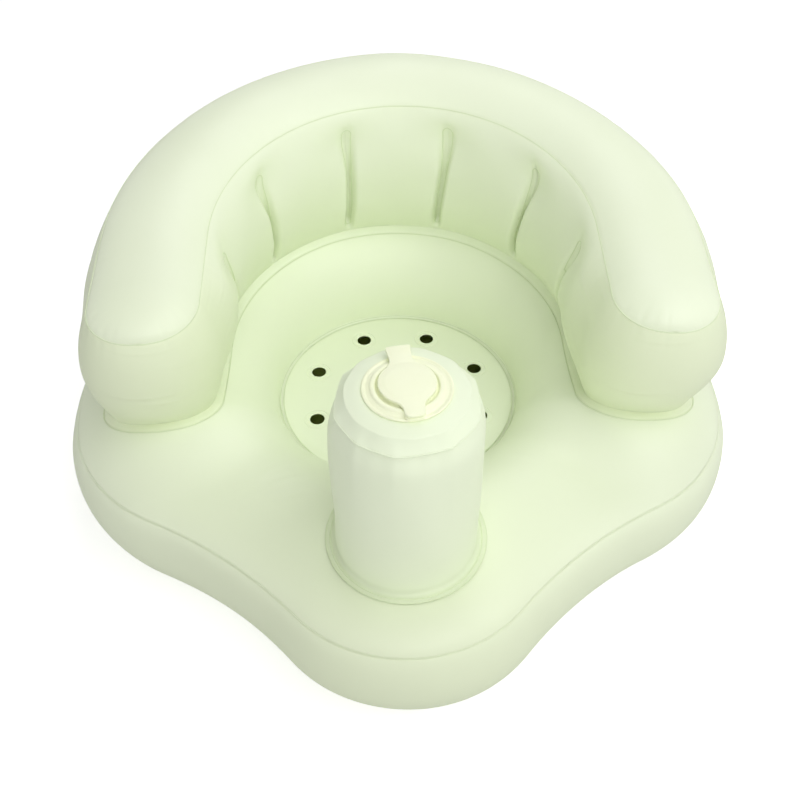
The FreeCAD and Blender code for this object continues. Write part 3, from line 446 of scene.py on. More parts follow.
# %% Sections of the base
WELL_ROWS, FLAT_ROWS, FALL_ROWS, CROWN_PASSES = 58, 14, 38, 24
UPPER_ROWS, LOWER_ROWS, SIDE_PASSES = 26, 46, 6
ROLL_PASSES, ROLL_REACH, SEAM_HOLD = 70, 30, 24


def at_height(radius, height):
    """Points (radius, height) of a section at every turn."""
    return np.stack([radius, np.broadcast_to(float(height), np.shape(radius))], axis=-1)


def crown_section(turn):
    """The top panel's section at each turn: up the well, over the crown and down to the seam."""
    plain = np.abs((turn + 180) % 360 - 180)
    seam_r = outline_radius(turn, SEAM_INSET)
    front = 1 - ease(plain, 0, PAD_TURN)
    middle = FLOOR_RADIUS + 0.5 * (seam_r - FLOOR_RADIUS)
    middle = middle + front * (SEAT_Y - POST_Y - middle)
    half = CROWN_FLAT / 2 + front * (POST_RADIUS + FOOT_LIP + LIP_GAP - CROWN_FLAT / 2)
    height = crown_height(plain)
    foot = at_height(np.full_like(turn, FLOOR_RADIUS), FLOOR_HEIGHT + 3 * FILM)
    inner = np.stack([middle - half, height], axis=-1)
    outer = np.stack([middle + half, height], axis=-1)
    seam = at_height(seam_r, SEAM_HEIGHT)
    well = bow(foot, inner, arc_half(foot, inner), np.linspace(0, 1, WELL_ROWS))
    flat = bow(inner, outer, np.zeros_like(turn), np.linspace(0, 1, FLAT_ROWS))
    fall = bow(outer, seam, arc_half(outer, seam), np.linspace(0, 1, FALL_ROWS))
    section = smoothed(np.concatenate([well, flat[1:], fall[1:]]), CROWN_PASSES)
    lip = np.stack([foot[:, 0] - FLOOR_LIP, foot[:, 1]], axis=-1)
    return np.concatenate([lip[None], section])


def side_section(turn):
    """The side wall's section at each turn: from the seam out to the girth and in to the tread."""
    seam = at_height(outline_radius(turn, SEAM_INSET), SEAM_HEIGHT)
    girth = at_height(outline_radius(turn), GIRTH_HEIGHT)
    tread = at_height(outline_radius(turn, TREAD_INSET), 0)
    upper = np.arctan2(girth[:, 0] - seam[:, 0], seam[:, 1] - girth[:, 1])
    lower = np.arctan2(girth[:, 0] - tread[:, 0], girth[:, 1])
    wall = np.concatenate([bow(seam, girth, upper, np.linspace(0, 1, UPPER_ROWS)),
                           bow(girth, tread, lower, np.linspace(0, 1, LOWER_ROWS))[1:]])
    return smoothed(wall, SIDE_PASSES)


def rolled(top, side):
    """Air presses both panels alike, so they run into each other at the seam without a fold."""
    whole = np.concatenate([top, side[1:]])
    seam = len(top) - 1
    soft = smoothed(whole, ROLL_PASSES)
    away = np.linalg.norm(whole - whole[seam], axis=-1)[..., None]
    eased = whole + np.exp(-(away / ROLL_REACH) ** 2) * (soft - whole)
    eased = eased + np.exp(-(away / SEAM_HOLD) ** 2) * (whole[seam] - eased[seam])
    return eased[:seam + 1], eased[seam:]


base_turns = np.linspace(0, 360, 400, endpoint=False)
crown, side_wall = rolled(crown_section(base_turns), side_section(base_turns))


def base_height(x, y):
    """Height of the top panel over points of the plan, read from its sections."""
    x, y = np.atleast_1d(x).astype(float), np.atleast_1d(y).astype(float)
    turn = (turn_of(x, y) % 360) / 360 * len(base_turns)
    radius = np.hypot(x, y - SEAT_Y)
    height = np.empty_like(radius)
    for spot, (place, out) in enumerate(zip(turn, radius)):
        first = int(place) % len(base_turns)
        second = (first + 1) % len(base_turns)
        share = place - int(place)
        low = np.interp(out, crown[:, first, 0], crown[:, first, 1])
        high = np.interp(out, crown[:, second, 0], crown[:, second, 1])
        height[spot] = low + (high - low) * share
    return height


print("crown from", round(float(crown[..., 1].min()), 1), "to", round(float(crown[..., 1].max()), 1), "mm")

# %% [markdown]
# ## Base panels
# The top panel, side wall and bottom panel meet at welds. The top panel and side wall get a faint unevenness,
# because a filled bag is never a perfect surface, and small puckers beside the seam, where a flat strip was
# welded into a curve.

# %% Base top panel
# Each fold: place x and y, heading in degrees, half length, depth
PACK_FOLDS = [(-92, -112, 24, 22, 0.6), (-104, -104, 40, 14, 0.5), (-78, -128, 12, 16, 0.5),
              (-120, -128, 30, 15, 0.35), (104, -96, -28, 20, 0.4), (126, -118, -12, 16, 0.35),
              (-48, -236, 8, 18, 0.35), (62, -225, -16, 16, 0.35)]
FOLD_WIDTH, FOLD_BEND = 2.6, 0.006
SEAM_RADIUS, SEAM_DENT, POST_CALM, POST_FREE = 245, 0.08, 55, 85
GROUND_BELOW = (0, SEAT_Y, -1000)


def pack_folds(points):
    """Short soft folds that the film keeps from lying packed flat."""
    total = np.zeros(points.shape[:-1])
    for x, y, heading, half, depth in PACK_FOLDS:
        sine, cosine = sin_cos(heading)
        east, north = points[..., 0] - x, points[..., 1] - y
        along = east * cosine + north * sine
        off = (north * cosine - east * sine + FOLD_BEND * along ** 2) / FOLD_WIDTH
        total = total - depth * off * np.exp(-off ** 2) * np.exp(-(along / half) ** 2)
    return total


grid = swept(base_turns, crown)
travel = np.maximum(along_rows(grid) - FLOOR_LIP, 0)
edge = travel[-1] - travel
seam_run = np.radians(base_turns)[None, :] * SEAM_RADIUS
lift = uneven(grid, np.minimum(edge, travel), height=0.7, length=120, seed=11, calm=14)
lift += puckers(seam_run, edge, height=0.55, decay=9, seed=21) + dent(edge, SEAM_DENT) + pack_folds(grid)
lift *= smooth_step(np.hypot(grid[..., 0], grid[..., 1] - POST_Y), POST_CALM, POST_FREE)
base_grid = pushed(grid, lift, GROUND_BELOW, True)
crown = np.stack([np.hypot(base_grid[..., 0], base_grid[..., 1] - SEAT_Y), base_grid[..., 2]], axis=-1)
base_top = film_sheet("base_top_film", base_grid, GROUND_BELOW, round_way=True)
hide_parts("base_top_panel")

# %% Base side wall
UNDER_LIP, LOW_CALM, FULL_START, FULL_END = 8, 30, 25, 60
BASE_MIDDLE = (0, SEAT_Y, 40)

grid = swept(base_turns, side_wall)
travel = along_rows(grid)
grid[..., 2] -= FILM * np.exp(-travel / UNDER_LIP)
edge = travel[-1] - travel
lift = uneven(grid, travel, height=0.6, length=130, seed=12, calm=14) * np.minimum(edge, LOW_CALM) / LOW_CALM
lift += puckers(seam_run, travel, height=0.5, decay=9, seed=21) + dent(travel, SEAM_DENT)
off_front = (base_turns - FULL_TURN + 180) % 360 - 180
full_share = travel / (travel + FULL_START) * np.minimum(edge, FULL_END) / FULL_END
lift += FULL_FRONT * np.exp(-(off_front / FULL_SPREAD) ** 2) * full_share
grid = pushed(grid, lift, BASE_MIDDLE, True)
base_side = film_sheet("base_side_film", grid, BASE_MIDDLE, round_way=True)
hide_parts("base_side_wall")
print("base films:", len(base_top.data.polygons), len(base_side.data.polygons), "faces")

# %% Base bottom panel
BELOW_FLOOR, TREAD_ROWS, RISER_ROWS = 0.65, 12, 18

edge_r = outline_radius(base_turns, TREAD_INSET + BELOW_FLOOR)
riser_low = np.array([[RISER_FOOT, 0.0]])
riser_high = np.array([[FLOOR_RADIUS, FLOOR_HEIGHT - BELOW_FLOOR]])
riser = bow(riser_low, riser_high, arc_half(riser_low, riser_high), np.linspace(0, 1, RISER_ROWS))
lip = riser_high - [FLOOR_LIP, 0]
hollow = np.repeat(np.concatenate([riser[1:], lip[None]]), len(base_turns), axis=1)
tread_shares = np.linspace(0, 1, TREAD_ROWS)[:, None]
tread = at_height(edge_r + (RISER_FOOT - edge_r) * tread_shares, 0)
grid = swept(base_turns, np.concatenate([tread, hollow]))[:, ::2]
base_bottom = film_sheet("base_bottom_film", grid, (0, SEAT_Y, 1000), round_way=True)
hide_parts("base_bottom_panel")
print("base bottom:", len(base_bottom.data.polygons), "faces")

# %% [markdown]
# ## Backrest
# The backrest is a horseshoe tube on the base. Its centre line runs along one arm, round the back and along
# the other arm. At each station a wall drops from the seam to its foot in an arc, as film does between two
# welds. Six welds tie the inner wall to webs inside, so between them it swells into puffs.

# %% Stations along the horseshoe
def seam_level(y):
    """The seams rise in a straight line from the arms' tips to the back."""
    low, high = ARM_TIP_Y - TUBE_HALF, SEAT_Y + ARM_X + TUBE_HALF
    return TIP_SEAM + (BACK_SEAM - TIP_SEAM) * (y - low) / (high - low)


def stations(*parts):
    """Place x and y, facing, distance of the foot and belly, each as an array as long as y."""
    return [np.broadcast_to(np.asarray(part, float), np.shape(parts[1])).copy() for part in parts]


def joined(*runs):
    return [np.concatenate(parts) for parts in zip(*runs)]


def backwards(run):
    return [part[::-1] for part in run]


def back_run(leans, outer):
    """Stations on the back's arc, at leans in degrees from straight back."""
    weight = ease(np.abs(leans), 0, 90)
    sine, cosine = sin_cos(leans)
    x, y = ARM_X * sine, SEAT_Y + ARM_X * cosine
    if outer:
        foot = FOOT_OUT_BACK + weight * (FOOT_OUT_ARM - FOOT_OUT_BACK)
        return stations(x, y, 180 - leans, foot, OUTER_BULGE)
    return stations(x, y, -leans, FOOT_IN_BACK + weight * (FOOT_IN_ARM - FOOT_IN_BACK), FLUTE_BULGE)


def arm_run(side, shares, outer):
    """Stations along an arm, from the back (share 0) to its tip (share 1)."""
    facing, foot, top = (90, FOOT_OUT_ARM, OUTER_BULGE) if outer else (-90, FOOT_IN_ARM, FLUTE_BULGE)
    belly = top + (TIP_BULGE - top) * smooth_step(shares, 0, 1)
    return stations(side * ARM_X, SEAT_Y + (ARM_TIP_Y - SEAT_Y) * shares, side * facing, foot, belly)


def tip_run(side, swings):
    """Stations round an arm's tip, from facing the seat (0) to facing out (180)."""
    ends = np.where(swings < 90, FOOT_IN_ARM, FOOT_OUT_ARM)
    sine, cosine = sin_cos(swings)
    foot = 1 / np.hypot(cosine / ends, sine / FOOT_TIP)
    return stations(side * ARM_X, np.full_like(swings, ARM_TIP_Y), side * (swings - 90), foot, TIP_BULGE)


# %% Creases and walls
OUTER_LEAN, HELD_LEAN, OUTER_SLACK = 55, 72, 0.55
DEEP_SHARE, START_SHARE, BROAD_SHARE, END_SHARE = 0.35, 0.05, 0.1, 0.9
LIP_SHARES = np.array([0.12, 0.3, 0.5, 0.75, 1.0])
LIP_CLOSE, SEAM_SLIP = 0.8, 0.1
# Where the fan of the creases dies out: leans in degrees, and distances inside the centre line
FAN_LEANS, FAN_INSETS = (80, 115), (30, 8)


def weld_start(lean):
    """How far below the seam a crease weld starts. The outer ones start lower."""
    return WEB_TOP + WEB_STEP * np.clip((np.abs(lean) - FIRST_CREASE) / CREASE_PITCH, 0, 2)


def crease_depth(x, y, height, fall, rise):
    """How far the webs hold the film back: a narrow groove at each weld and a broad hollow beside it."""
    lean = np.degrees(np.arctan2(x, y - SEAT_Y))
    lean = np.where(y < SEAT_Y, np.sign(x) * (90 + np.degrees((SEAT_Y - y) / ARM_X)), lean)
    near = np.min([np.abs(lean - crease) for crease in CREASES], axis=0) * np.radians(1) * FLUTE_RADIUS
    start = weld_start(lean) / height
    deeper = smooth_step(fall, start, start + DEEP_SHARE)
    band = SLOT_TOP + (SLOT_LOW - SLOT_TOP) * deeper
    narrow = np.exp(-(np.maximum(near - band, 0) / GROOVE_WIDTH) ** 2)
    groove = GROOVE_TOP + (GROOVE_LOW - GROOVE_TOP) * deeper
    groove = groove * smooth_step(fall, start - START_SHARE, start + 0.8 * START_SHARE)
    groove = groove * (1 - smooth_step(fall, END_SHARE, 1))
    broad = (1 - np.minimum(near / PUFF_HALF, 1)) ** 2 * smooth_step(fall, 0, start + BROAD_SHARE)
    drawn = np.where(fall < start, smooth_step(fall, 0, start), (1 - fall) / (1 - start))
    whole = rise * (1 - CREASE_BULGE / FLUTE_BULGE) + CREASE_PULL * drawn
    held = 1 - OUTER_SLACK * smooth_step(np.abs(lean), OUTER_LEAN, HELD_LEAN)
    return held * (groove * narrow + np.maximum(whole - groove, 0) * broad)


def wall_section(run, shares, creased):
    """A wall from its seam to its foot at each station, as (distance, height)."""
    x, y, turn, foot, belly = run
    sine, cosine = sin_cos(turn)
    top = np.stack([np.full_like(x, TUBE_HALF), seam_level(y - TUBE_HALF * cosine) - SEAM_SLIP], axis=-1)
    low = np.stack([foot, base_height(x + foot * sine, y - foot * cosine) + LIP_GAP + FILM], axis=-1)
    chord = np.linalg.norm(top - low, axis=1)
    section = bow(top, low, 2 * np.arctan2(2 * belly, chord), shares)
    if creased:
        left = np.stack([top[:, 1] - low[:, 1], low[:, 0] - top[:, 0]], axis=-1) / chord[:, None]
        height = top[:, 1] - low[:, 1]
        fall = np.clip((top[:, 1] - section[..., 1]) / height, 0, 1)
        rise = np.sum((section - top) * left, axis=-1)
        section = section - crease_depth(x, y, height, fall, rise)[..., None] * left
    return section


def wall_grid(run, creased):
    """Points of a wall from its seam to its foot, then out along its weld lip."""
    x, y, turn, foot, belly = run
    sine, cosine = sin_cos(turn)
    rim = []
    for share in LIP_SHARES:
        out = foot + share * FOOT_LIP
        ground = base_height(x + out * sine, y - out * cosine)
        rim.append(np.stack([out, ground + LIP_GAP * (1 - LIP_CLOSE * share) + FILM], axis=-1))
    section = np.concatenate([wall_section(run, crowd(WALL_ROWS), creased), np.array(rim)])
    return np.stack([x + section[..., 0] * sine, y - section[..., 0] * cosine, section[..., 1]], axis=-1)


def fanned(points, up):
    """Creases spread a little with height, because the film is longer at the seam than at its foot."""
    lean = np.arctan2(points[..., 0], points[..., 1] - SEAT_Y)
    radius = np.hypot(points[..., 0], points[..., 1] - SEAT_Y)
    spread = np.where(lean < 0, FAN_LEFT, FAN) * lean * up * (1 - up ** 8)
    spread = spread * (1 - smooth_step(np.abs(np.degrees(lean)), *FAN_LEANS))
    reach = np.where(points[..., 1] >= SEAT_Y, radius, np.abs(points[..., 0]))
    spread = spread * (1 - smooth_step(reach, ARM_X - FAN_INSETS[0], ARM_X - FAN_INSETS[1]))
    moved = points.copy()
    moved[..., 0] = radius * np.sin(lean + spread)
    moved[..., 1] = SEAT_Y + radius * np.cos(lean + spread)
    return moved


# %% Places on the tube
TIP_BACK, TIP_FRONT = 40, 20
RIGHT_LEANS, LEFT_LEANS, FULL_HEIGHTS, SWAY_HEIGHTS = (40, 95), (40, 100), (118, 165), (122, 210)
FULL_FROM, SWAY_TO = -25, 20


def tube_place(points):
    """Run along the horseshoe's centre line, and distance from the seam, for points on the tube."""
    x, y = points[..., 0], points[..., 1]
    side = np.sign(x)
    back = y >= SEAT_Y
    arm = (y < SEAT_Y) & (y >= ARM_TIP_Y)
    quarter, length = ARM_X * np.pi / 2, SEAT_Y - ARM_TIP_Y
    swing = np.arctan2(side * x - ARM_X, ARM_TIP_Y - y)
    run = side * np.where(arm, quarter + SEAT_Y - y, quarter + length + swing * TUBE_HALF)
    run = np.where(back, np.arctan2(x, y - SEAT_Y) * ARM_X, run)
    off = np.where(arm, np.abs(side * x - ARM_X), np.hypot(side * x - ARM_X, y - ARM_TIP_Y))
    off = np.where(back, np.abs(np.hypot(x, y - SEAT_Y) - ARM_X), off)
    return run, TUBE_HALF - off


def tube_middle(points):
    """The chamber's centre line beside each point, at mid height."""
    x, y = points[..., 0], points[..., 1]
    lean = np.arctan2(x, y - SEAT_Y)
    back = y >= SEAT_Y
    cx = np.where(back, ARM_X * np.sin(lean), np.sign(x) * ARM_X)
    cy = np.where(back, SEAT_Y + ARM_X * np.cos(lean), np.maximum(y, ARM_TIP_Y))
    return np.stack([cx, cy, np.full_like(cx, TUBE_HEIGHT)], axis=-1)


def tip_weight(points):
    """1 round an arm's tip, falling to 0 along the arm."""
    return smooth_step(-points[..., 1], -ARM_TIP_Y - TIP_BACK, -ARM_TIP_Y + TIP_FRONT)


def settled(points):
    """The filled inner side stands a little to the right, and both arms are blown full outside."""
    x, y, z = points[..., 0], points[..., 1], points[..., 2]
    lean = np.arctan2(x, y - SEAT_Y)
    back = y >= SEAT_Y
    out = np.stack([np.where(back, np.sin(lean), np.sign(x)), np.where(back, np.cos(lean), 0.0)], axis=-1)
    distance = np.sum((points - tube_middle(points))[..., :2] * out, axis=-1)
    turn = np.degrees(lean)
    fuller = FULLER_RIGHT * smooth_step(turn, *RIGHT_LEANS) + FULLER_LEFT * smooth_step(-turn, *LEFT_LEANS)
    fuller = fuller * smooth_step(distance, FULL_FROM, TUBE_HALF) * smooth_step(z, *FULL_HEIGHTS)
    inner = smooth_step(-distance, -TUBE_HALF, SWAY_TO) * smooth_step(z, *SWAY_HEIGHTS)
    moved = points.copy()
    moved[..., :2] += fuller[..., None] * out + inner[..., None] * np.array(SWAY)
    return moved


def weld_distances(grid):
    """Distance from a wall's seam, from its foot, and from the nearer of the two."""
    from_seam = along_rows(grid)
    from_foot = np.abs(from_seam - from_seam[WALL_ROWS - 1])
    return from_seam, from_foot, np.minimum(from_seam, from_foot)


# %% Folds at the arms' tips
# Each pinch: run along the tube, reach, depth
PINCHES = [(314, 9, 0.8), (321, 6, 0.6), (329, 10, 0.9), (338, 6, 0.5), (347, 8, 0.6), (372, 7, 0.5),
           (384, 9, 0.7), (-316, 8, 0.7), (-325, 6, 0.5), (-336, 8, 0.5), (-368, 7, 0.6), (-376, 10, 0.9),
           (-385, 8, 0.8), (-394, 9, 0.7)]
# Each fold: run along the tube, fall below the seam, tilt, half length, depth
TIP_FOLDS = [(-346, 8, 0.06, 20, 0.35), (-354, 47, -0.05, 22, 1.3), (-340, 55, 0.08, 20, 0.7),
             (-322, 26, 0.25, 16, 0.6), (350, 9, -0.08, 20, 0.35), (340, 58, -0.1, 24, 0.7),
             (318, 30, -0.2, 18, 0.6)]
PINCH_WIDTH, TIP_FOLD_WIDTH = 1.5, 1.7


def pinches(run, away):
    """Short gathers across the seam where it turns round the arms' tips, alike on both of its panels."""
    total = np.zeros(np.shape(run))
    for place, reach, depth in PINCHES:
        off = (run - place) / PINCH_WIDTH
        total = total - depth * np.exp(-off ** 2) * np.exp(-away / reach) * (1 - np.exp(-away / PINCH_WIDTH))
    return total


def tip_folds(run, travel):
    """Fine folds that hang across the arms' tips, where the film is a little too long."""
    total = np.zeros_like(travel)
    for place, fall, tilt, half, depth in TIP_FOLDS:
        off = (travel - fall - tilt * (run - place)) / TIP_FOLD_WIDTH
        total = total - depth * off * np.exp(-off ** 2) * np.exp(-((run - place) / half) ** 2)
    return total


# %% Backrest inner wall
WALL_ROWS, FLUTE_COLUMNS, OUTSIDE_COLUMNS, ARM_COLUMNS, TIP_COLUMNS = 84, 45, 20, 26, 70

arm_shares = np.linspace(0, 1, ARM_COLUMNS)[1:]
tip_swings = np.linspace(0, 180, TIP_COLUMNS)[1:]


def arm_loop(side):
    """Stations from the back along an arm, round its tip and back along its outer side."""
    outer = arm_run(side, np.concatenate([[0], arm_shares[:-1]]), True)
    return joined(arm_run(side, arm_shares, False), tip_run(side, tip_swings), backwards(outer))


flutes = [start + (end - start) * crowd(FLUTE_COLUMNS)[:-1] for start, end in zip(CREASES, CREASES[1:])]
outside = CREASES[-1] + (90 - CREASES[-1]) * np.linspace(0, 1, OUTSIDE_COLUMNS)[1:] ** 1.6
inner_leans = np.concatenate([-outside[::-1], *flutes, [CREASES[-1]], outside])
left_arm = backwards(arm_loop(-1))
grid = wall_grid(joined(left_arm, back_run(inner_leans, False), arm_loop(1)), True)
foot_level = grid[WALL_ROWS - 1, :, 2]
grid = fanned(grid, np.clip((grid[..., 2] - foot_level) / (grid[0, :, 2] - foot_level), 0, 1))
travel, foot_away, nearer = weld_distances(grid)
run = tube_place(grid)[0]
lift = uneven(grid, nearer, height=0.6, length=90, seed=31, calm=12)
lift += puckers(run, travel, height=0.25, decay=7, seed=41)
lift += tip_weight(grid) * puckers(run, travel, height=0.7, decay=11, seed=42) + dent(travel)
lift += puckers(run, foot_away, height=0.35, decay=7, seed=43) + tip_folds(run, travel) + pinches(run, travel)
lift[WALL_ROWS - 1:] = 0
inner_grid = settled(pushed(grid, lift, tube_middle(grid)))
backrest_inner = film_sheet("backrest_inner_film", inner_grid, tube_middle(inner_grid))
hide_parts("backrest_inner_wall")
print("backrest inner wall:", inner_grid.shape, len(backrest_inner.data.polygons), "faces")

# %% Backrest outer wall
OUTER_LEANS = np.linspace(-89.95, 89.95, 170)

grid = wall_grid(back_run(OUTER_LEANS, True), False)
travel, foot_away, nearer = weld_distances(grid)
run = tube_place(grid)[0]
lift = uneven(grid, nearer, height=0.8, length=110, seed=51, calm=12)
lift += puckers(run, travel, height=0.35, decay=8, seed=41)
lift += puckers(run, foot_away, height=0.45, decay=8, seed=53) + dent(travel)
lift[WALL_ROWS - 1:] = 0
outer_grid = settled(pushed(grid, lift, tube_middle(grid)))
face_middle = (outer_grid[:-1, :-1] + outer_grid[1:, 1:]) / 2
valve_hole = np.hypot(face_middle[..., 0], face_middle[..., 2] - RELEASE_HEIGHT) < RELEASE_HOLE
backrest_outer = film_sheet("backrest_outer_film", outer_grid, tube_middle(outer_grid), left_out=valve_hole)
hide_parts("backrest_outer_wall")

# %% Backrest top panel
TOP_COLUMNS, TOP_ROWS = 220, 63
tip_shares = 1 - np.linspace(0.005, 1, 32)[:-1] ** 1.5
run_shares = np.linspace(0, 1, 24)[:-1]


def arch_columns(side):
    """Middle, facing and half width of the sections from one tip to the back's arc."""
    arm_y = ARM_TIP_Y + (SEAT_Y - ARM_TIP_Y) * run_shares
    y = np.concatenate([ARM_TIP_Y - TUBE_HALF * tip_shares, arm_y])
    wide = np.concatenate([TUBE_HALF * np.sqrt(1 - tip_shares ** 2), np.full(len(arm_y), TUBE_HALF)])
    return np.full_like(y, side * ARM_X), y, np.full_like(y, side * 90.0), wide


leans = np.linspace(90, -90, TOP_COLUMNS)
sine, cosine = sin_cos(leans)
arch = (ARM_X * sine, SEAT_Y + ARM_X * cosine, 180 - leans, np.full_like(leans, TUBE_HALF))
x, y, turn, wide = joined(arch_columns(1), arch, backwards(arch_columns(-1)))
even = np.linspace(-1, 1, TOP_ROWS)
across = (0.5 * even - 0.5 * np.cos(np.pi * np.linspace(0, 1, TOP_ROWS)))[:, None]
sine, cosine = sin_cos(turn)
half = 2 * math.atan2(TOP_RISE, TUBE_HALF)
radius = wide / math.sin(half)
out = across * wide
inner_z, outer_z = seam_level(y + wide * cosine), seam_level(y - wide * cosine)
rise = np.sqrt(np.maximum(radius ** 2 - out ** 2, 0)) - radius * math.cos(half)
level = inner_z + (outer_z - inner_z) * (across + 1) / 2 + rise
grid = np.stack([x + out * sine, y - out * cosine, level], axis=-1)
run, away = tube_place(grid)
away = np.maximum(away, 0)
lift = uneven(grid, away, height=0.7, length=110, seed=61, calm=12)
lift += puckers(run, away, height=0.3, decay=8, seed=41)
lift += tip_weight(grid) * puckers(run, away, height=0.45, decay=13, seed=42)
lift += dent(away) + pinches(run, away)
top_grid = settled(pushed(grid, lift, tube_middle(grid)))
backrest_top = film_sheet("backrest_top_film", top_grid, tube_middle(top_grid))
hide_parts("backrest_top_panel")
print("backrest top panel:", top_grid.shape, len(backrest_top.data.polygons), "faces")

# %% [markdown]
# ## Post
# The post is the pump: a slack tube of frosted film round a sponge. Its top seam was welded flat and then
# pushed round, so it keeps straight runs with soft corners between them, and the film below hangs in faint
# folds. A cylinder primitive would have none of this, so the tube is a grid whose radius follows those rules.

# %% Slack of the post's film
SEAM_CORNERS = np.array([-168.0, -122, -74, -43, -11, 33, 68, 112, 152, 192])
SEAM_SLACK, CORNER_PASSES = 0.55, 2
post_turns = np.linspace(-180, 180, 240, endpoint=False)
post_run = np.radians(post_turns) * POST_RADIUS


def seam_facets(turn):
    """How far the post's top seam lies inside a true circle, as a share of its radius."""
    turn = (turn - SEAM_CORNERS[0]) % 360 + SEAM_CORNERS[0]
    side = np.clip(np.searchsorted(SEAM_CORNERS, turn, side="right") - 1, 0, len(SEAM_CORNERS) - 2)
    low, high = SEAM_CORNERS[side], SEAM_CORNERS[side + 1]
    half, off = np.radians(high - low) / 2, np.radians(turn - (low + high) / 2)
    return np.cos(half) / np.cos(off) - 1


def round_post(radius, height):
    """Radii and heights (row, column) set round the post's middle."""
    sine, cosine = sin_cos(post_turns)
    return np.stack([radius * sine, POST_Y - radius * cosine, height], axis=-1)


facet = SEAM_SLACK * POST_RADIUS * seam_facets(post_turns)
for step in range(CORNER_PASSES):
    facet = (np.roll(facet, 1) + 2 * facet + np.roll(facet, -1)) / 4

# %% Post wall
# The foot's weld flange and the bend up into the wall: radius, height over the foot
FLANGE = [(56.0, 0.5), (55.6, 0.62), (54.5, 0.62), (53.0, 0.6), (51.8, 0.62), (50.8, 0.8), (50.0, 1.3),
          (49.45, 2.1), (49.1, 3.2), (49.0, 4.6)]
WALL_STEPS, NECK_REACH, HANG_REACH, HANG_SHARE, STRETCH_SHARE = 61, 9, 20, 0.10, 0.35
# Where the flats, the flange and the slack begin and end: heights over the foot, then depths below the seam
HANG_RISE, LIP_RISE, SLACK_RISE, SLACK_DROP = (6, 30), (1, 8), (5, 40), (0, 14)
FLANGE_INNER = 50

lip_r, lip_z = np.array(FLANGE).T
climb = np.linspace(0, 1, WALL_STEPS + 1)[1:]
rows_r = np.concatenate([lip_r, np.full(WALL_STEPS, POST_RADIUS)])[:, None]
wall_low = POST_FOOT + lip_z[-1]
rows_z = np.concatenate([POST_FOOT + lip_z, wall_low + (POST_SEAM - wall_low) * climb])[:, None]
drop, up = POST_SEAM - rows_z, rows_z - POST_FOOT
hang = np.exp(-drop / HANG_REACH) + HANG_SHARE * smooth_step(up, *HANG_RISE)
flat = np.stack(np.broadcast_arrays(post_run, rows_z * STRETCH_SHARE), axis=-1)
lip = 1 - smooth_step(up, *LIP_RISE)
radius = rows_r - (POST_RADIUS - POST_SEAM_RADIUS) * np.exp(-(drop / NECK_REACH) ** 2)
radius = radius + facet * hang + 0.15 * waves(flat, length=60, count=4, seed=72) * lip
slack = smooth_step(up, *SLACK_RISE) * smooth_step(drop, *SLACK_DROP)
radius += 0.55 * waves(flat, length=42, count=5, seed=71) * slack
radius += puckers(flat[..., 0], np.broadcast_to(drop, radius.shape), height=0.9, decay=9, seed=73)
height = rows_z + 0.12 * waves(flat, length=60, count=4, seed=74) * lip * (rows_r > FLANGE_INNER)
post_grid = round_post(radius, height)
axis = np.stack([0 * radius, 0 * radius + POST_Y, height], axis=-1)
post_wall = film_sheet("post_wall_film", post_grid, axis, round_way=True)
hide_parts("post_wall")

# %% Post top panel
TOP_HOLE, SEAM_LIFT, SEAT_SINK, DOME_PASSES = 13.15, 0.3, 0.15, 3
SLOPE_LENGTH, LEVEL_LENGTH = 11, 30

inward = np.linspace(0, 2, 61)[:, None]
slope, level = np.clip(inward, 0, 1), np.clip(inward - 1, 0, 1)
rows_r = POST_SEAM_RADIUS + (FOLD_RADIUS - POST_SEAM_RADIUS) * slope + (TOP_HOLE - FOLD_RADIUS) * level
seam_z = POST_SEAM + SEAM_LIFT + FILM
rows_z = seam_z + (FOLD_HEIGHT - seam_z) * slope
dome = smooth_step(-rows_r, -FOLD_RADIUS - 6, -FLANGE_RADIUS)
rows_z = smoothed(rows_z + (VALVE_SEAT - SEAT_SINK - FOLD_HEIGHT) * dome, DOME_PASSES)
flat = np.stack(np.broadcast_arrays(post_run, rows_r), axis=-1)
radius = rows_r + facet * (1 - slope) ** 0.8
radius = radius + 0.4 * waves(flat, length=30, count=4, seed=75) * slope * (1 - level)
away = np.broadcast_to(slope * SLOPE_LENGTH + level * LEVEL_LENGTH, radius.shape)
height = rows_z + puckers(post_run[None, :], away, height=0.8, decay=6, seed=73)
post_cap = film_sheet("post_top_film", round_post(radius, height), (0, POST_Y, -1000), round_way=True)
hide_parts("post_top_panel")
post_seam = round_post(POST_SEAM_RADIUS + facet + 0.1, np.full_like(facet, POST_SEAM + SEAM_LIFT))
print("post films:", len(post_wall.data.polygons), len(post_cap.data.polygons), "faces")

# %% [markdown]
# ## Moulded valves
# The intake valve, its cap and the release valve are moulded soft vinyl, so every edge is rounded by the
# mould. A turned profile gives the rings, and a flat outline with a rolled edge gives the tab and strap.
# Points on the axis are closed with one fan of triangles.


# %% Turned and pressed shapes
def facing_out(points, faces):
    """The faces of a closed shape, turned over if their volume comes out negative."""
    points = np.asarray(points)
    total = 0.0
    for face in faces:
        for second, third in zip(face[1:], face[2:]):
            total += np.dot(points[face[0]], np.cross(points[second], points[third]))
    return faces if total > 0 else [face[::-1] for face in faces]


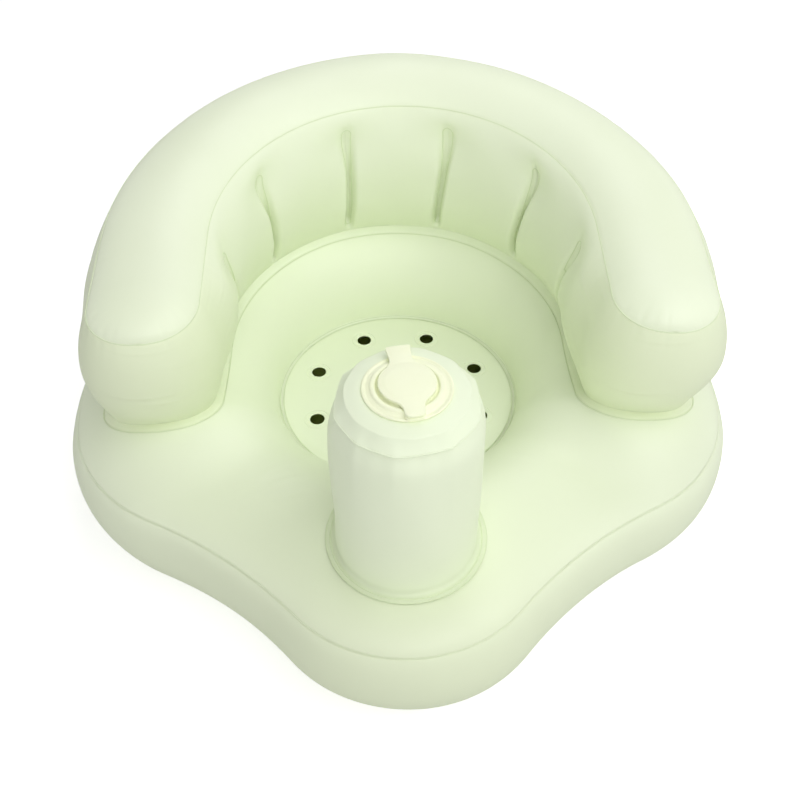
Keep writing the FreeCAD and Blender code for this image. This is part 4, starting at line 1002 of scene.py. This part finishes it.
def turned_shape(profile, columns=96):
    """Points and faces of a profile (radius, height) turned about Z. A ring closes on itself."""
    angle = np.linspace(0, 2 * np.pi, columns, endpoint=False)
    solid = profile[0][0] == 0
    body = profile[1:-1] if solid else profile
    points = [(r * math.cos(a), r * math.sin(a), z) for r, z in body for a in angle]
    count = len(body)
    faces = []
    for row in range(count - 1 if solid else count):
        below, above = row * columns, (row + 1) % count * columns
        faces += [(below + step, below + (step + 1) % columns, above + (step + 1) % columns, above + step)
                  for step in range(columns)]
    if solid:
        for pole, row, first in ((profile[0], 0, True), (profile[-1], count - 1, False)):
            points.append((0.0, 0.0, pole[1]))
            ring = [row * columns + step for step in range(columns)]
            for here, there in zip(ring, ring[1:] + ring[:1]):
                faces.append((there, here, len(points) - 1) if first else (here, there, len(points) - 1))
    return points, facing_out(points, faces)


def pressed_shape(outline, low, high, roll):
    """Points and faces of a plate with rolled edges, from a closed outline (x, y)."""
    outline = np.asarray(outline, float)
    ahead, behind = np.roll(outline, -1, axis=0), np.roll(outline, 1, axis=0)
    step = ahead - behind
    inward = np.stack([-step[:, 1], step[:, 0]], axis=-1) / np.linalg.norm(step, axis=1, keepdims=True)
    inward = inward * np.sign(np.sum(outline[:, 0] * ahead[:, 1] - ahead[:, 0] * outline[:, 1]))
    rings = []
    for angle in np.radians([0, 30, 60, 90]):
        rings.append((roll * (1 - math.sin(angle)), low + roll * (1 - math.cos(angle))))
    rings += [(inset, low + high - level) for inset, level in rings[::-1]]
    points = np.concatenate([np.column_stack([outline + inset * inward, np.full(len(outline), z)])
                             for inset, z in rings])
    count = len(outline)
    faces = []
    for row in range(len(rings) - 1):
        here, there = row * count, (row + 1) * count
        faces += [(here + place, here + (place + 1) % count, there + (place + 1) % count, there + place)
                  for place in range(count)]
    faces.append(tuple(range(count))[::-1])
    faces.append(tuple((len(rings) - 1) * count + place for place in range(count)))
    return points.tolist(), facing_out(points, faces)


def moulded(name, shapes, middle, turn=0.0):
    """One piece of several closed shapes, turned by degrees and set about a middle point."""
    sine, cosine = sin_cos(turn)
    spin = np.array([[cosine, -sine, 0], [sine, cosine, 0], [0, 0, 1]])
    points, faces = [], []
    for more, sides in shapes:
        faces += [tuple(corner + len(points) for corner in side) for side in sides]
        points += [tuple(spin @ np.asarray(point) + np.asarray(middle)) for point in more]
    return place_piece(name, points, faces)


# %% Intake valve body
# Profile of the ring: neck, flange, step, wall, moat under the cap's rim, and bore
RING = [(11, -9), (13, -9), (13, -0.05), (27.1, 0), (27.5, 0.3), (27.5, 0.9), (27.2, 1.25), (26.8, 1.4),
        (26.2, 1.4), (25.8, 1.3), (25.5, 1.05), (24.9, 1.0), (24.4, 1.05), (24.0, 1.3), (23.5, 1.45),
        (22.9, 1.6), (22.55, 2.0), (22.35, 2.5), (22.0, 2.85), (21.5, 3.0), (20.0, 3.0), (19.4, 2.9),
        (19.05, 2.4), (18.8, 1.5), (17.6, 1.1), (16.6, 1.4), (16.2, 2.6), (15.7, 2.95), (11.5, 3.0),
        (11.1, 2.8), (11, 2.4)]
STRAP_HALF, STRAP_END, STRAP_ROLL = 6.25, 27.5, 4.0
LUG_ROOT, LUG_LOW, LUG_HIGH, LUG_EDGE = -13.0, 0.1, 2.95, 0.5

bend = []
for angle in np.radians(np.linspace(0, 90, 7)):
    bend.append((STRAP_HALF - STRAP_ROLL + STRAP_ROLL * math.sin(angle),
                 STRAP_ROLL - STRAP_END - STRAP_ROLL * math.cos(angle)))
lug = bend + [(STRAP_HALF, LUG_ROOT), (-STRAP_HALF, LUG_ROOT)] + [(-x, y) for x, y in bend[::-1]]
lug_shape = pressed_shape(lug, LUG_LOW, LUG_HIGH, LUG_EDGE)
intake_body = moulded("intake_valve_moulding", [turned_shape(RING), lug_shape],
                      (0, POST_Y, VALVE_SEAT), CAP_TURN)
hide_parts("intake_valve_body")

# %% Intake cap with its tab and strap
# Profile of the lid: plug, underside, rim, and the low dome
DOME = [(0, -7), (5.6, -7), (6.2, -6.5), (8.6, 0.1), (16.9, 0.0), (17.45, 0.4), (17.5, 1.0), (17.4, 1.6),
        (17.1, 1.95), (16.6, 2.12), (15.0, 2.2), (14.2, 2.28), (13.6, 2.42), (12.8, 2.5), (0, 2.6)]
CAP_RADIUS, CAP_LIFT, THROAT = 17.5, 3.3, 9.0
TAB_ROOT, TAB_END, TAB_REACH, TAB_ROLL = 7.0, 7.75, 32.0, 1.8
PLATE_LOW, PLATE_HIGH, PLATE_EDGE = 0.05, 2.1, 0.55


def tongue_side(root, end, reach, roll):
    """One side of a tongue: the hollow curve off the cap, then out to its rounded corner."""
    across, far = root + THROAT, CAP_RADIUS + THROAT
    along = math.sqrt(far ** 2 - across ** 2)
    turn = math.atan2(along, across)
    line = [(across - THROAT * math.cos(a), along - THROAT * math.sin(a)) for a in np.linspace(turn, 0, 9)]
    for angle in np.radians(np.linspace(0, 90, 8)):
        line.append((end - roll + roll * math.cos(angle), reach - roll + roll * math.sin(angle)))
    return line, turn


tab, tab_turn = tongue_side(TAB_ROOT, TAB_END, TAB_REACH, TAB_ROLL)
strap, strap_turn = tongue_side(STRAP_HALF, STRAP_HALF, STRAP_END, STRAP_ROLL)
rim_turns = np.linspace(-strap_turn, tab_turn, 40)[1:-1]
rim = [(CAP_RADIUS * math.cos(a), CAP_RADIUS * math.sin(a)) for a in rim_turns]
right_side = [(x, -y) for x, y in strap[::-1]] + rim + tab
outline = right_side + [(-x, y) for x, y in right_side[::-1]]
plate = pressed_shape(outline, PLATE_LOW, PLATE_HIGH, PLATE_EDGE)
intake_cap = moulded("intake_cap_moulding", [turned_shape(DOME), plate],
                     (0, POST_Y, VALVE_SEAT + CAP_LIFT), CAP_TURN)
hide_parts("intake_cap")
print("intake valve:", len(intake_body.data.polygons), "and cap:", len(intake_cap.data.polygons), "faces")

# %% [markdown]
# ## Inside the chambers
# Nobody sees the sponge or the webs, but they are what makes the post spring back and the creases hold. The
# sponge is a turned block with rounded rims. Each web is a flat sheet with two air holes, cut as one outline
# with two inner loops and filled.

# %% Pump sponge
# Profile of the block: foot over the check valve, side, shoulder and bore
BLOCK = [(17, 3.0), (15.6, 2.7), (15.3, 2.2), (15.3, 0.4), (15.8, 0), (43.5, 0), (45.3, 0.7), (46, 2.5),
         (46, 66), (46, 108), (45, 116), (43, 124), (40.5, 131), (38, 134.5), (34.5, 137.2), (32, 138),
         (19, 138.2), (17.4, 137.7), (17, 136.5), (17, 66)]
SPONGE_FOOT = 104.15
sponge = moulded("pump_sponge", [turned_shape(BLOCK, 72)], (0, POST_Y, SPONGE_FOOT))
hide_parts("pump_foam")

# %% Backrest webs
WEB_CLEAR, WEB_NEAR, WEB_FAR = 1.5, 1.2, 1.3
AIR_HOLE_SHARES, AIR_SIZE_SHARE = (0.25, 0.75), 0.24


def web_sheet(lean):
    """One web behind a crease: a sheet from the inner wall to the outer one, with two air holes."""
    station = np.array([float(lean)])
    foot_near = back_run(station, False)[3][0]
    x, y, facing, foot_far = [part[0] for part in back_run(station, True)[:4]]
    sine, cosine = sin_cos(facing)

    def ground(out):
        return base_height(x + out * sine, y - out * cosine)[0] + LIP_GAP
    foot_in, foot_out = ground(-foot_near), ground(foot_far)
    top_in, top_out = seam_level(y + TUBE_HALF * cosine), seam_level(y - TUBE_HALF * cosine)
    low, high = max(foot_in, foot_out) + WEB_FOOT, top_in - weld_start(lean) - WEB_CLEAR
    levels = np.linspace(low, high, 12)
    wall = wall_section(back_run(station, False), np.linspace(0, 1, 60), True)[::-1, 0]
    near = WEB_NEAR - np.interp(levels, wall[:, 1], wall[:, 0])
    share = (levels - foot_out) / (top_out - foot_out)
    far = foot_far + share * (TUBE_HALF - foot_far) + 4 * OUTER_BULGE * share * (1 - share) - WEB_FAR
    loops = [list(zip(near, levels)) + list(zip(far[::-1], levels[::-1]))]
    size = AIR_SIZE_SHARE * min(float(far.mean() - near.mean()), high - low)
    for hole_share in AIR_HOLE_SHARES:
        z = low + (high - low) * hole_share
        middle = (np.interp(z, levels, near) + np.interp(z, levels, far)) / 2
        loops.append([(middle + size * math.cos(a), z + size * math.sin(a))
                      for a in np.linspace(0, 2 * np.pi, 24, endpoint=False)])
    sheet = bmesh.new()
    for loop in loops:
        away, level = np.array(loop).T
        spots = np.stack([x + away * sine, y - away * cosine, level], axis=-1)
        spots = settled(fanned(spots, (level - foot_in) / (top_in - foot_in))) * MM
        corners = [sheet.verts.new(spot) for spot in spots]
        for first, second in zip(corners, corners[1:] + corners[:1]):
            sheet.edges.new((first, second))
    bmesh.ops.triangle_fill(sheet, use_beauty=True, use_dissolve=False, edges=sheet.edges[:])
    bmesh.ops.recalc_face_normals(sheet, faces=sheet.faces[:])
    bmesh.ops.solidify(sheet, geom=sheet.faces[:], thickness=FILM * MM)
    return sheet


def in_order(sheet):
    """Corners and faces of a sheet, sorted. A fill may list the same triangles in any order."""
    spots = sorted(tuple(corner.co) for corner in sheet.verts)
    number = {spot: place for place, spot in enumerate(spots)}
    faces = []
    for face in sheet.faces:
        ring = [number[tuple(corner.co)] for corner in face.verts]
        first = ring.index(min(ring))
        faces.append(ring[first:] + ring[:first])
    return spots, sorted(faces)


webs = []
for number, lean in enumerate(CREASES, start=1):
    sheet = web_sheet(lean)
    spots, faces = in_order(sheet)
    sheet.free()
    mesh = bpy.data.meshes.new(f"backrest_web_film_{number}")
    mesh.from_pydata(spots, [], faces)
    web = bpy.data.objects.new(mesh.name, mesh)
    bpy.context.collection.objects.link(web)
    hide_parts(f"backrest_web_{number}")
    webs.append(web)
print("webs:", [len(web.data.polygons) for web in webs], "faces")

# %% [markdown]
# ## Finishes
# The film is soft vinyl, semi-gloss and a little milky. Real film is never one even colour or one even gloss,
# so slow noise moves both by a small amount, and two bumps give the ripple of a filled bag and the grain of
# the calendered sheet. On the arms, at the front of the base and at the post's foot the film is darkened as
# painted shade. The valves are moulded from the same vinyl without grain, and the sponge is matt with pores.

# %% Film, moulded vinyl and sponge
VINYL_IOR = 1.53
# Sizes of the noise patches and depths of the relief, in metres
TONE_PATCH, GLOSS_PATCH, RIPPLE_PATCH, GRAIN_PATCH = 0.09, 0.03, 0.022, 0.0007
RIPPLE_DEPTH, GRAIN_DEPTH, PORE_DEPTH = 0.001, 0.0001, 0.0006


def finish_of(name):
    finish = bpy.data.materials.new(name)
    finish.use_nodes = True
    finish.node_tree.nodes.clear()
    return finish, finish.node_tree


def at_object(tree):
    return add(tree, "ShaderNodeTexCoord").outputs["Object"]


def cloud(tree, size, detail=2.0):
    """Noise whose patches are about size metres across, fixed to the object."""
    inputs = {"Vector": at_object(tree), "Scale": 1 / size, "Detail": detail}
    return add(tree, "ShaderNodeTexNoise", inputs).outputs[0]


def bump(tree, height, strength, distance, **more):
    """Normals for a surface of that height, in metres. A Normal among more is the surface below it."""
    inputs = {"Strength": strength, "Distance": distance, **more, "Height": height}
    return add(tree, "ShaderNodeBump", inputs).outputs[0]


def surface(tree, tone, roughness, normal, **more):
    """Ends a material with one Principled shader."""
    inputs = {"Base Color": tone, "Roughness": roughness, "Normal": normal, **more}
    shade = add(tree, "ShaderNodeBsdfPrincipled", inputs)
    add(tree, "ShaderNodeOutputMaterial", {0: shade.outputs[0]})


def film_finish(name, tones, rough, ripple, grain, painted_shade_fade=None):
    """Welded vinyl film: colour and gloss drift slowly, with a broad ripple and a fine grain.

    A painted shade (axis, start, end, colour) darkens the film to that colour along an axis, from end back to
    start.
    """
    finish, tree = finish_of(name)
    tone = mixed(tree, cloud(tree, TONE_PATCH), colour(tones[0]), colour(tones[1]))
    if painted_shade_fade:
        axis, start, end, other = painted_shade_fade
        parts = add(tree, "ShaderNodeSeparateXYZ", {0: at_object(tree)})
        tone = mixed(tree, ramp(tree, parts.outputs[axis], start, end), colour(other), tone)
    roughness = ramp(tree, cloud(tree, GLOSS_PATCH), 0.3, 0.7, *rough)
    broad = bump(tree, cloud(tree, RIPPLE_PATCH, detail=1.0), ripple, RIPPLE_DEPTH)
    fine = bump(tree, cloud(tree, GRAIN_PATCH, detail=3.0), grain, GRAIN_DEPTH, Normal=broad)
    surface(tree, tone, roughness, fine, IOR=VINYL_IOR)
    return finish


def welded_film(name, painted_shade_fade=None):
    return film_finish(name, ("#F0F8DE", "#ECF5D7"), (0.42, 0.52), ripple=0.22, grain=0.10, painted_shade_fade=painted_shade_fade)


film = welded_film("soft_vinyl_film_welded")
# Painted shade: the base's film turns darker towards the front.
base_film_painted_shade = welded_film("soft_vinyl_film_welded_base_painted_shade", ("Y", -0.25, -0.08, "#E7F0D0"))
# Painted shade: the inner wall's film turns darker along the arms towards their tips.
arm_film_painted_shade = welded_film("soft_vinyl_film_welded_arms_painted_shade", ("Y", -0.06, 0.03, "#EAF3D2"))
weld = film_finish("soft_vinyl_film_heat_weld", ("#E2EDCB", "#DCE8C2"), (0.34, 0.42), ripple=0.05, grain=0.05)
# Painted shade: the post's film turns darker at its foot, where it stands on the base.
frosted = film_finish("soft_vinyl_film_frosted_painted_shade_foot", ("#F1FADF", "#ECF6D7"), (0.48, 0.58),
                      ripple=0.30, grain=0.14, painted_shade_fade=("Z", 0.1055, 0.1115, "#E0EACA"))

valve, tree = finish_of("soft_vinyl_injection_moulded")
tone = mixed(tree, cloud(tree, 0.02), colour("#F9FDDF"), colour("#F6FBD6"))
mould_mark = bump(tree, cloud(tree, 0.0012), strength=0.12, distance=GRAIN_DEPTH)
surface(tree, tone, roughness=0.42, normal=mould_mark, IOR=VINYL_IOR)

foam, tree = finish_of("open_cell_sponge_cut")
cells = add(tree, "ShaderNodeTexVoronoi", {"Vector": at_object(tree), "Scale": 900}).outputs["Distance"]
pores = mixed(tree, cells, colour("#B9B7A2"), colour("#E4E2D2"))
surface(tree, pores, roughness=0.95, normal=bump(tree, cells, strength=0.6, distance=PORE_DEPTH))
print("finishes:", [finish.name for finish in (film, base_film_painted_shade, arm_film_painted_shade, weld, frosted, valve, foam)])

# %% [markdown]
# ## Seat floor with its drains
# Eight equal holes stand on one circle, which is what Geometry Nodes are for: one hole and one weld rim are
# made once and placed on the points of a ring. An Array modifier about an empty would do the same, but the
# count and sizes would not be named inputs.


# %% Node trees and what they make
def start_tree(name, sockets):
    """A Geometry Nodes tree with named inputs. Gives the tree and the sockets of its input node."""
    tree = bpy.data.node_groups.new(name, "GeometryNodeTree")
    for label, kind, value in sockets:
        socket = tree.interface.new_socket(label, in_out="INPUT", socket_type="NodeSocket" + kind)
        if value is not None:
            socket.default_value = value
    tree.interface.new_socket("Geometry", in_out="OUTPUT", socket_type="NodeSocketGeometry")
    return tree, add(tree, "NodeGroupInput").outputs


def end_tree(tree, shape, finish):
    """Every tree ends the same way: real geometry with a material."""
    whole = add(tree, "GeometryNodeRealizeInstances", {0: shape})
    painted = add(tree, "GeometryNodeSetMaterial", {"Geometry": whole.outputs[0], "Material": finish})
    add(tree, "NodeGroupOutput", {0: painted.outputs[0]})


def swept_bead(tree, curve, wire):
    """A smooth bead: the round wire swept along a curve."""
    bead = add(tree, "GeometryNodeCurveToMesh", {"Curve": curve, "Profile Curve": wire})
    return add(tree, "GeometryNodeSetShadeSmooth", {0: bead.outputs[0]}).outputs[0]


def circle_curve(tree, resolution, radius):
    inputs = {"Resolution": resolution, "Radius": radius}
    return add(tree, "GeometryNodeCurvePrimitiveCircle", inputs).outputs[0]


def grown(name, tree, points=(), edges=(), **values):
    """A piece that a tree makes from points and edges, as a plain mesh."""
    start = bpy.data.meshes.new(name + "_path")
    start.from_pydata([tuple(np.asarray(point) * MM) for point in points], edges, [])
    piece = bpy.data.objects.new(name, start)
    bpy.context.collection.objects.link(piece)
    modifier = piece.modifiers.new(tree.name, "NODES")
    modifier.node_group = tree
    for item in tree.interface.items_tree:
        if item.in_out == "INPUT" and item.name in values:
            modifier[item.identifier] = values[item.name]
    bpy.context.view_layer.update()
    made = bpy.data.meshes.new_from_object(piece.evaluated_get(bpy.context.evaluated_depsgraph_get()))
    made.name = name
    piece.modifiers.remove(modifier)
    piece.data = made
    bpy.data.meshes.remove(start)
    return piece


# %% Tree for a drained floor
DISC_SIDES, HOLE_SIDES, RIM_SIDES, BEAD_SIDES, PUNCH_DEPTH = 192, 48, 56, 8, 0.01

drained, given = start_tree("drained_floor", (
    ("Start", "Geometry", None), ("Radius", "Float", 0.1), ("Thickness", "Float", 0.001),
    ("Hole radius", "Float", 0.006), ("Ring radius", "Float", 0.07), ("Count", "Int", 8),
    ("Rim radius", "Float", 0.01), ("Bead", "Float", 0.0005), ("Middle", "Vector", None),
    ("Film", "Material", None)))
disc = add(drained, "GeometryNodeMeshCylinder", {"Vertices": DISC_SIDES, "Radius": given["Radius"],
           "Depth": given["Thickness"]})
ring = add(drained, "GeometryNodeMeshCircle", {"Vertices": given["Count"], "Radius": given["Ring radius"]})
half_step = add(drained, "ShaderNodeMath", {0: math.pi, 1: given["Count"]}, operation="DIVIDE")
spin = add(drained, "ShaderNodeCombineXYZ", {2: half_step.outputs[0]})
spots = add(drained, "GeometryNodeTransform", {"Geometry": ring.outputs[0], "Rotation": spin.outputs[0]})
punch = add(drained, "GeometryNodeMeshCylinder", {"Vertices": HOLE_SIDES, "Radius": given["Hole radius"],
            "Depth": PUNCH_DEPTH})
punches = add(drained, "GeometryNodeInstanceOnPoints", {"Points": spots.outputs[0],
              "Instance": punch.outputs[0]})
solid = add(drained, "GeometryNodeRealizeInstances", {0: punches.outputs[0]})
pierced = add(drained, "GeometryNodeMeshBoolean", {"Mesh 1": disc.outputs[0], "Mesh 2": solid.outputs[0]},
              operation="DIFFERENCE")
wire = circle_curve(drained, BEAD_SIDES, given["Bead"])
half_thick = add(drained, "ShaderNodeMath", {0: given["Thickness"], 1: 0.5}, operation="MULTIPLY")
shift = add(drained, "ShaderNodeCombineXYZ", {2: half_thick.outputs[0]})
rims = []
for size in ("Rim radius", "Hole radius"):
    bead = swept_bead(drained, circle_curve(drained, RIM_SIDES, given[size]), wire)
    lifted = add(drained, "GeometryNodeTransform", {"Geometry": bead, "Translation": shift.outputs[0]})
    rims.append(add(drained, "GeometryNodeInstanceOnPoints", {"Points": spots.outputs[0],
                    "Instance": lifted.outputs[0]}))
whole = add(drained, "GeometryNodeJoinGeometry")
for part in (pierced, *rims):
    drained.links.new(part.outputs[0], whole.inputs[0])
moved = add(drained, "GeometryNodeTransform", {"Geometry": whole.outputs[0], "Translation": given["Middle"]})
end_tree(drained, moved.outputs[0], given["Film"])

# %% Seat floor
PLIES, RIM_RADIUS, RIM_BEAD = 0.85, 10.5, 0.35
floor_sizes = {"Radius": FLOOR_RADIUS * MM, "Thickness": PLIES * MM, "Hole radius": DRAIN_RADIUS * MM,
               "Ring radius": DRAIN_CIRCLE * MM, "Rim radius": RIM_RADIUS * MM, "Count": DRAIN_COUNT,
               "Bead": RIM_BEAD * MM, "Middle": (0, SEAT_Y * MM, (FLOOR_HEIGHT + PLIES / 2) * MM)}
seat_floor = grown("seat_floor_film", drained, Film=film, **floor_sizes)
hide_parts("seat_floor")
print("seat floor:", len(seat_floor.data.polygons), "faces")

# %% [markdown]
# ## Weld lines
# A heat weld leaves a fine raised bead along its edge. All of them are the same thing on different paths, so
# one tree sweeps a small round along whatever line it is given. The crease welds are long loops, as a die
# with rounded ends prints them.

# %% Tree for a weld bead
beaded, given = start_tree("weld_bead", (
    ("Path", "Geometry", None), ("Bead", "Float", 0.0005), ("Film", "Material", None)))
line = add(beaded, "GeometryNodeMeshToCurve", {0: given["Path"]})
bead = swept_bead(beaded, line.outputs[0], circle_curve(beaded, BEAD_SIDES, given["Bead"]))
end_tree(beaded, bead, given["Film"])


def bead_along(name, loops, size, finish):
    """Weld beads along closed loops of points in millimetres."""
    points, edges = [], []
    for loop in loops:
        first, count = len(points), len(loop)
        points += [tuple(point) for point in loop]
        edges += [(first + place, first + (place + 1) % count) for place in range(count)]
    return grown(name, beaded, points, edges, Bead=size * MM, Film=finish)


def floor_ring(radius, height, count=180):
    """A circle of points round the seat's centre."""
    angle = np.linspace(0, 2 * np.pi, count, endpoint=False)
    x, y = radius * np.cos(angle), SEAT_Y + radius * np.sin(angle)
    return np.stack([x, y, np.full(count, height)], axis=-1)


# %% Loops on the fluted wall
LOOP_TOP, LOOP_LOW, SHORT_WELD, SHORT_LEAN, LOOP_PROUD = 4.1, 2.4, 34.0, 60, 0.1
LOOP_ROWS, LOOP_ENDS, DRAW_LOW, DRAW_HIGH = 60, 12, 45, 8
CREASE_BEAD = 0.4
first_back = len(left_arm[0])
wall_out = outward(inner_grid, tube_middle(inner_grid))[0]


def between(rows, place):
    """A row between two rows of an array, at a place with a fraction."""
    low = min(int(place), len(rows) - 2)
    return rows[low] * (1 - place + low) + rows[low + 1] * (place - low)


def on_wall(leans, heights):
    """Points on the inner wall at leans in degrees and heights, a hair proud of the film."""
    spots = []
    for lean, level in zip(leans, heights):
        column = first_back + np.interp(lean, inner_leans, np.arange(len(inner_leans)))
        line = between(inner_grid.swapaxes(0, 1), column)[:WALL_ROWS]
        face = between(wall_out.swapaxes(0, 1), column)[:WALL_ROWS]
        row = np.interp(-level, -line[:, 2], np.arange(WALL_ROWS))
        spots.append(between(line, row) + LOOP_PROUD * between(face, row))
    return np.array(spots)


def crease_loop(lean):
    """The outline of one crease weld: two long sides with rounded ends, drawn together lower down."""
    column = first_back + int(np.argmin(np.abs(inner_leans - lean)))
    top = inner_grid[0, column, 2] - weld_start(lean)
    low = inner_grid[WALL_ROWS - 1, column, 2] + WEB_FOOT / 2
    low = top - SHORT_WELD if abs(lean) > SHORT_LEAN else low
    rise = np.linspace(low + LOOP_LOW, top - LOOP_TOP, LOOP_ROWS)
    half = LOOP_LOW + (LOOP_TOP - LOOP_LOW) * smooth_step(rise, top - DRAW_LOW, top - DRAW_HIGH)
    swing = np.linspace(0, np.pi, LOOP_ENDS)[1:-1]
    across = np.concatenate([half, LOOP_TOP * np.cos(swing), -half[::-1], -LOOP_LOW * np.cos(swing)])
    level = np.concatenate([rise, top - LOOP_TOP + LOOP_TOP * np.sin(swing), rise[::-1],
                            low + LOOP_LOW - LOOP_LOW * np.sin(swing)])
    return on_wall(lean + np.degrees(across / FLUTE_RADIUS), level)


crease_beads = bead_along("crease_welds", [crease_loop(lean) for lean in CREASES], CREASE_BEAD, weld)

# %% Beads on the seams and feet
SEAT_BEAD, BASE_BEAD, RING_BEAD, POST_BEAD = 0.4, 0.3, 0.42, 0.5
SEAM_SINK, FLANGE_RISE, FLANGE_ROW = 0.12, 0.1, 3
# Each ring on the seat floor: distance inside its edge, height
FLOOR_RINGS = [(FLOOR_LIP, 54.0), (0.6, 54.1)]

seam_loop = np.concatenate([top_grid[0], top_grid[-1][::-1]])
foot_loop = np.concatenate([inner_grid[-1], outer_grid[-1][::-1]])
seat_beads = bead_along("seat_welds", [seam_loop, foot_loop], SEAT_BEAD, weld)
base_bead = bead_along("base_seam_weld", [base_grid[-1] - [0, 0, SEAM_SINK]], BASE_BEAD, base_film_painted_shade)
floor_loops = [floor_ring(FLOOR_RADIUS - inset, height) for inset, height in FLOOR_RINGS]
floor_beads = bead_along("floor_welds", floor_loops, RING_BEAD, weld)
foot_loops = [post_grid[0], post_grid[FLANGE_ROW] + [0, 0, FLANGE_RISE]]
post_foot_beads = bead_along("post_foot_welds", foot_loops, RING_BEAD, weld)
post_seam_bead = bead_along("post_seam_weld", [post_seam], POST_BEAD, frosted)
beads = (crease_beads, seat_beads, base_bead, floor_beads, post_foot_beads, post_seam_bead)
print("beads:", [len(piece.data.polygons) for piece in beads], "faces")

# %% [markdown]
# ## Which body each piece rides on
# The film of the seat stands still. The post's top, its valve and its cap go down with the pump. The slack
# wall and the sponge ride on no body, and their placing is baked into their points.


# %% Materials and rides
def dress(piece, finish, body=None):
    """Gives a piece its material and, if one is named, the body it rides on."""
    piece.data.materials.clear()
    piece.data.materials.append(finish)
    if body:
        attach(piece, body)


for piece, finish in ((base_side, base_film_painted_shade), (backrest_inner, arm_film_painted_shade), (backrest_outer, film),
                      (backrest_top, film), (base_top, base_film_painted_shade)):
    dress(piece, finish, "air_seat")
for piece in [base_bottom, seat_floor] + webs:
    dress(piece, film, "air_seat")
for piece in (crease_beads, seat_beads, floor_beads, post_foot_beads):
    dress(piece, weld, "air_seat")
dress(base_bead, base_film_painted_shade, "air_seat")
dress(post_seam_bead, frosted, "pump_head")
dress(post_cap, frosted, "pump_head")
dress(post_wall, frosted)
dress(sponge, foam)
dress(intake_body, valve, "pump_head")
dress(intake_cap, valve, "cap")
for piece, low, high in ((post_wall, POST_FOOT + 3, POST_SEAM - 1), (sponge, POST_FOOT, POST_TOP)):
    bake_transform(piece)
for name in ("check_valve_body", "check_valve_flap", "release_valve_body", "release_plug", "release_flap"):
    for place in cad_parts[name].material_slots:
        place.material = valve

# %% Size of the shown pieces
low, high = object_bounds()
print("visual box:", [round(value, 4) for value in low], [round(value, 4) for value in high])
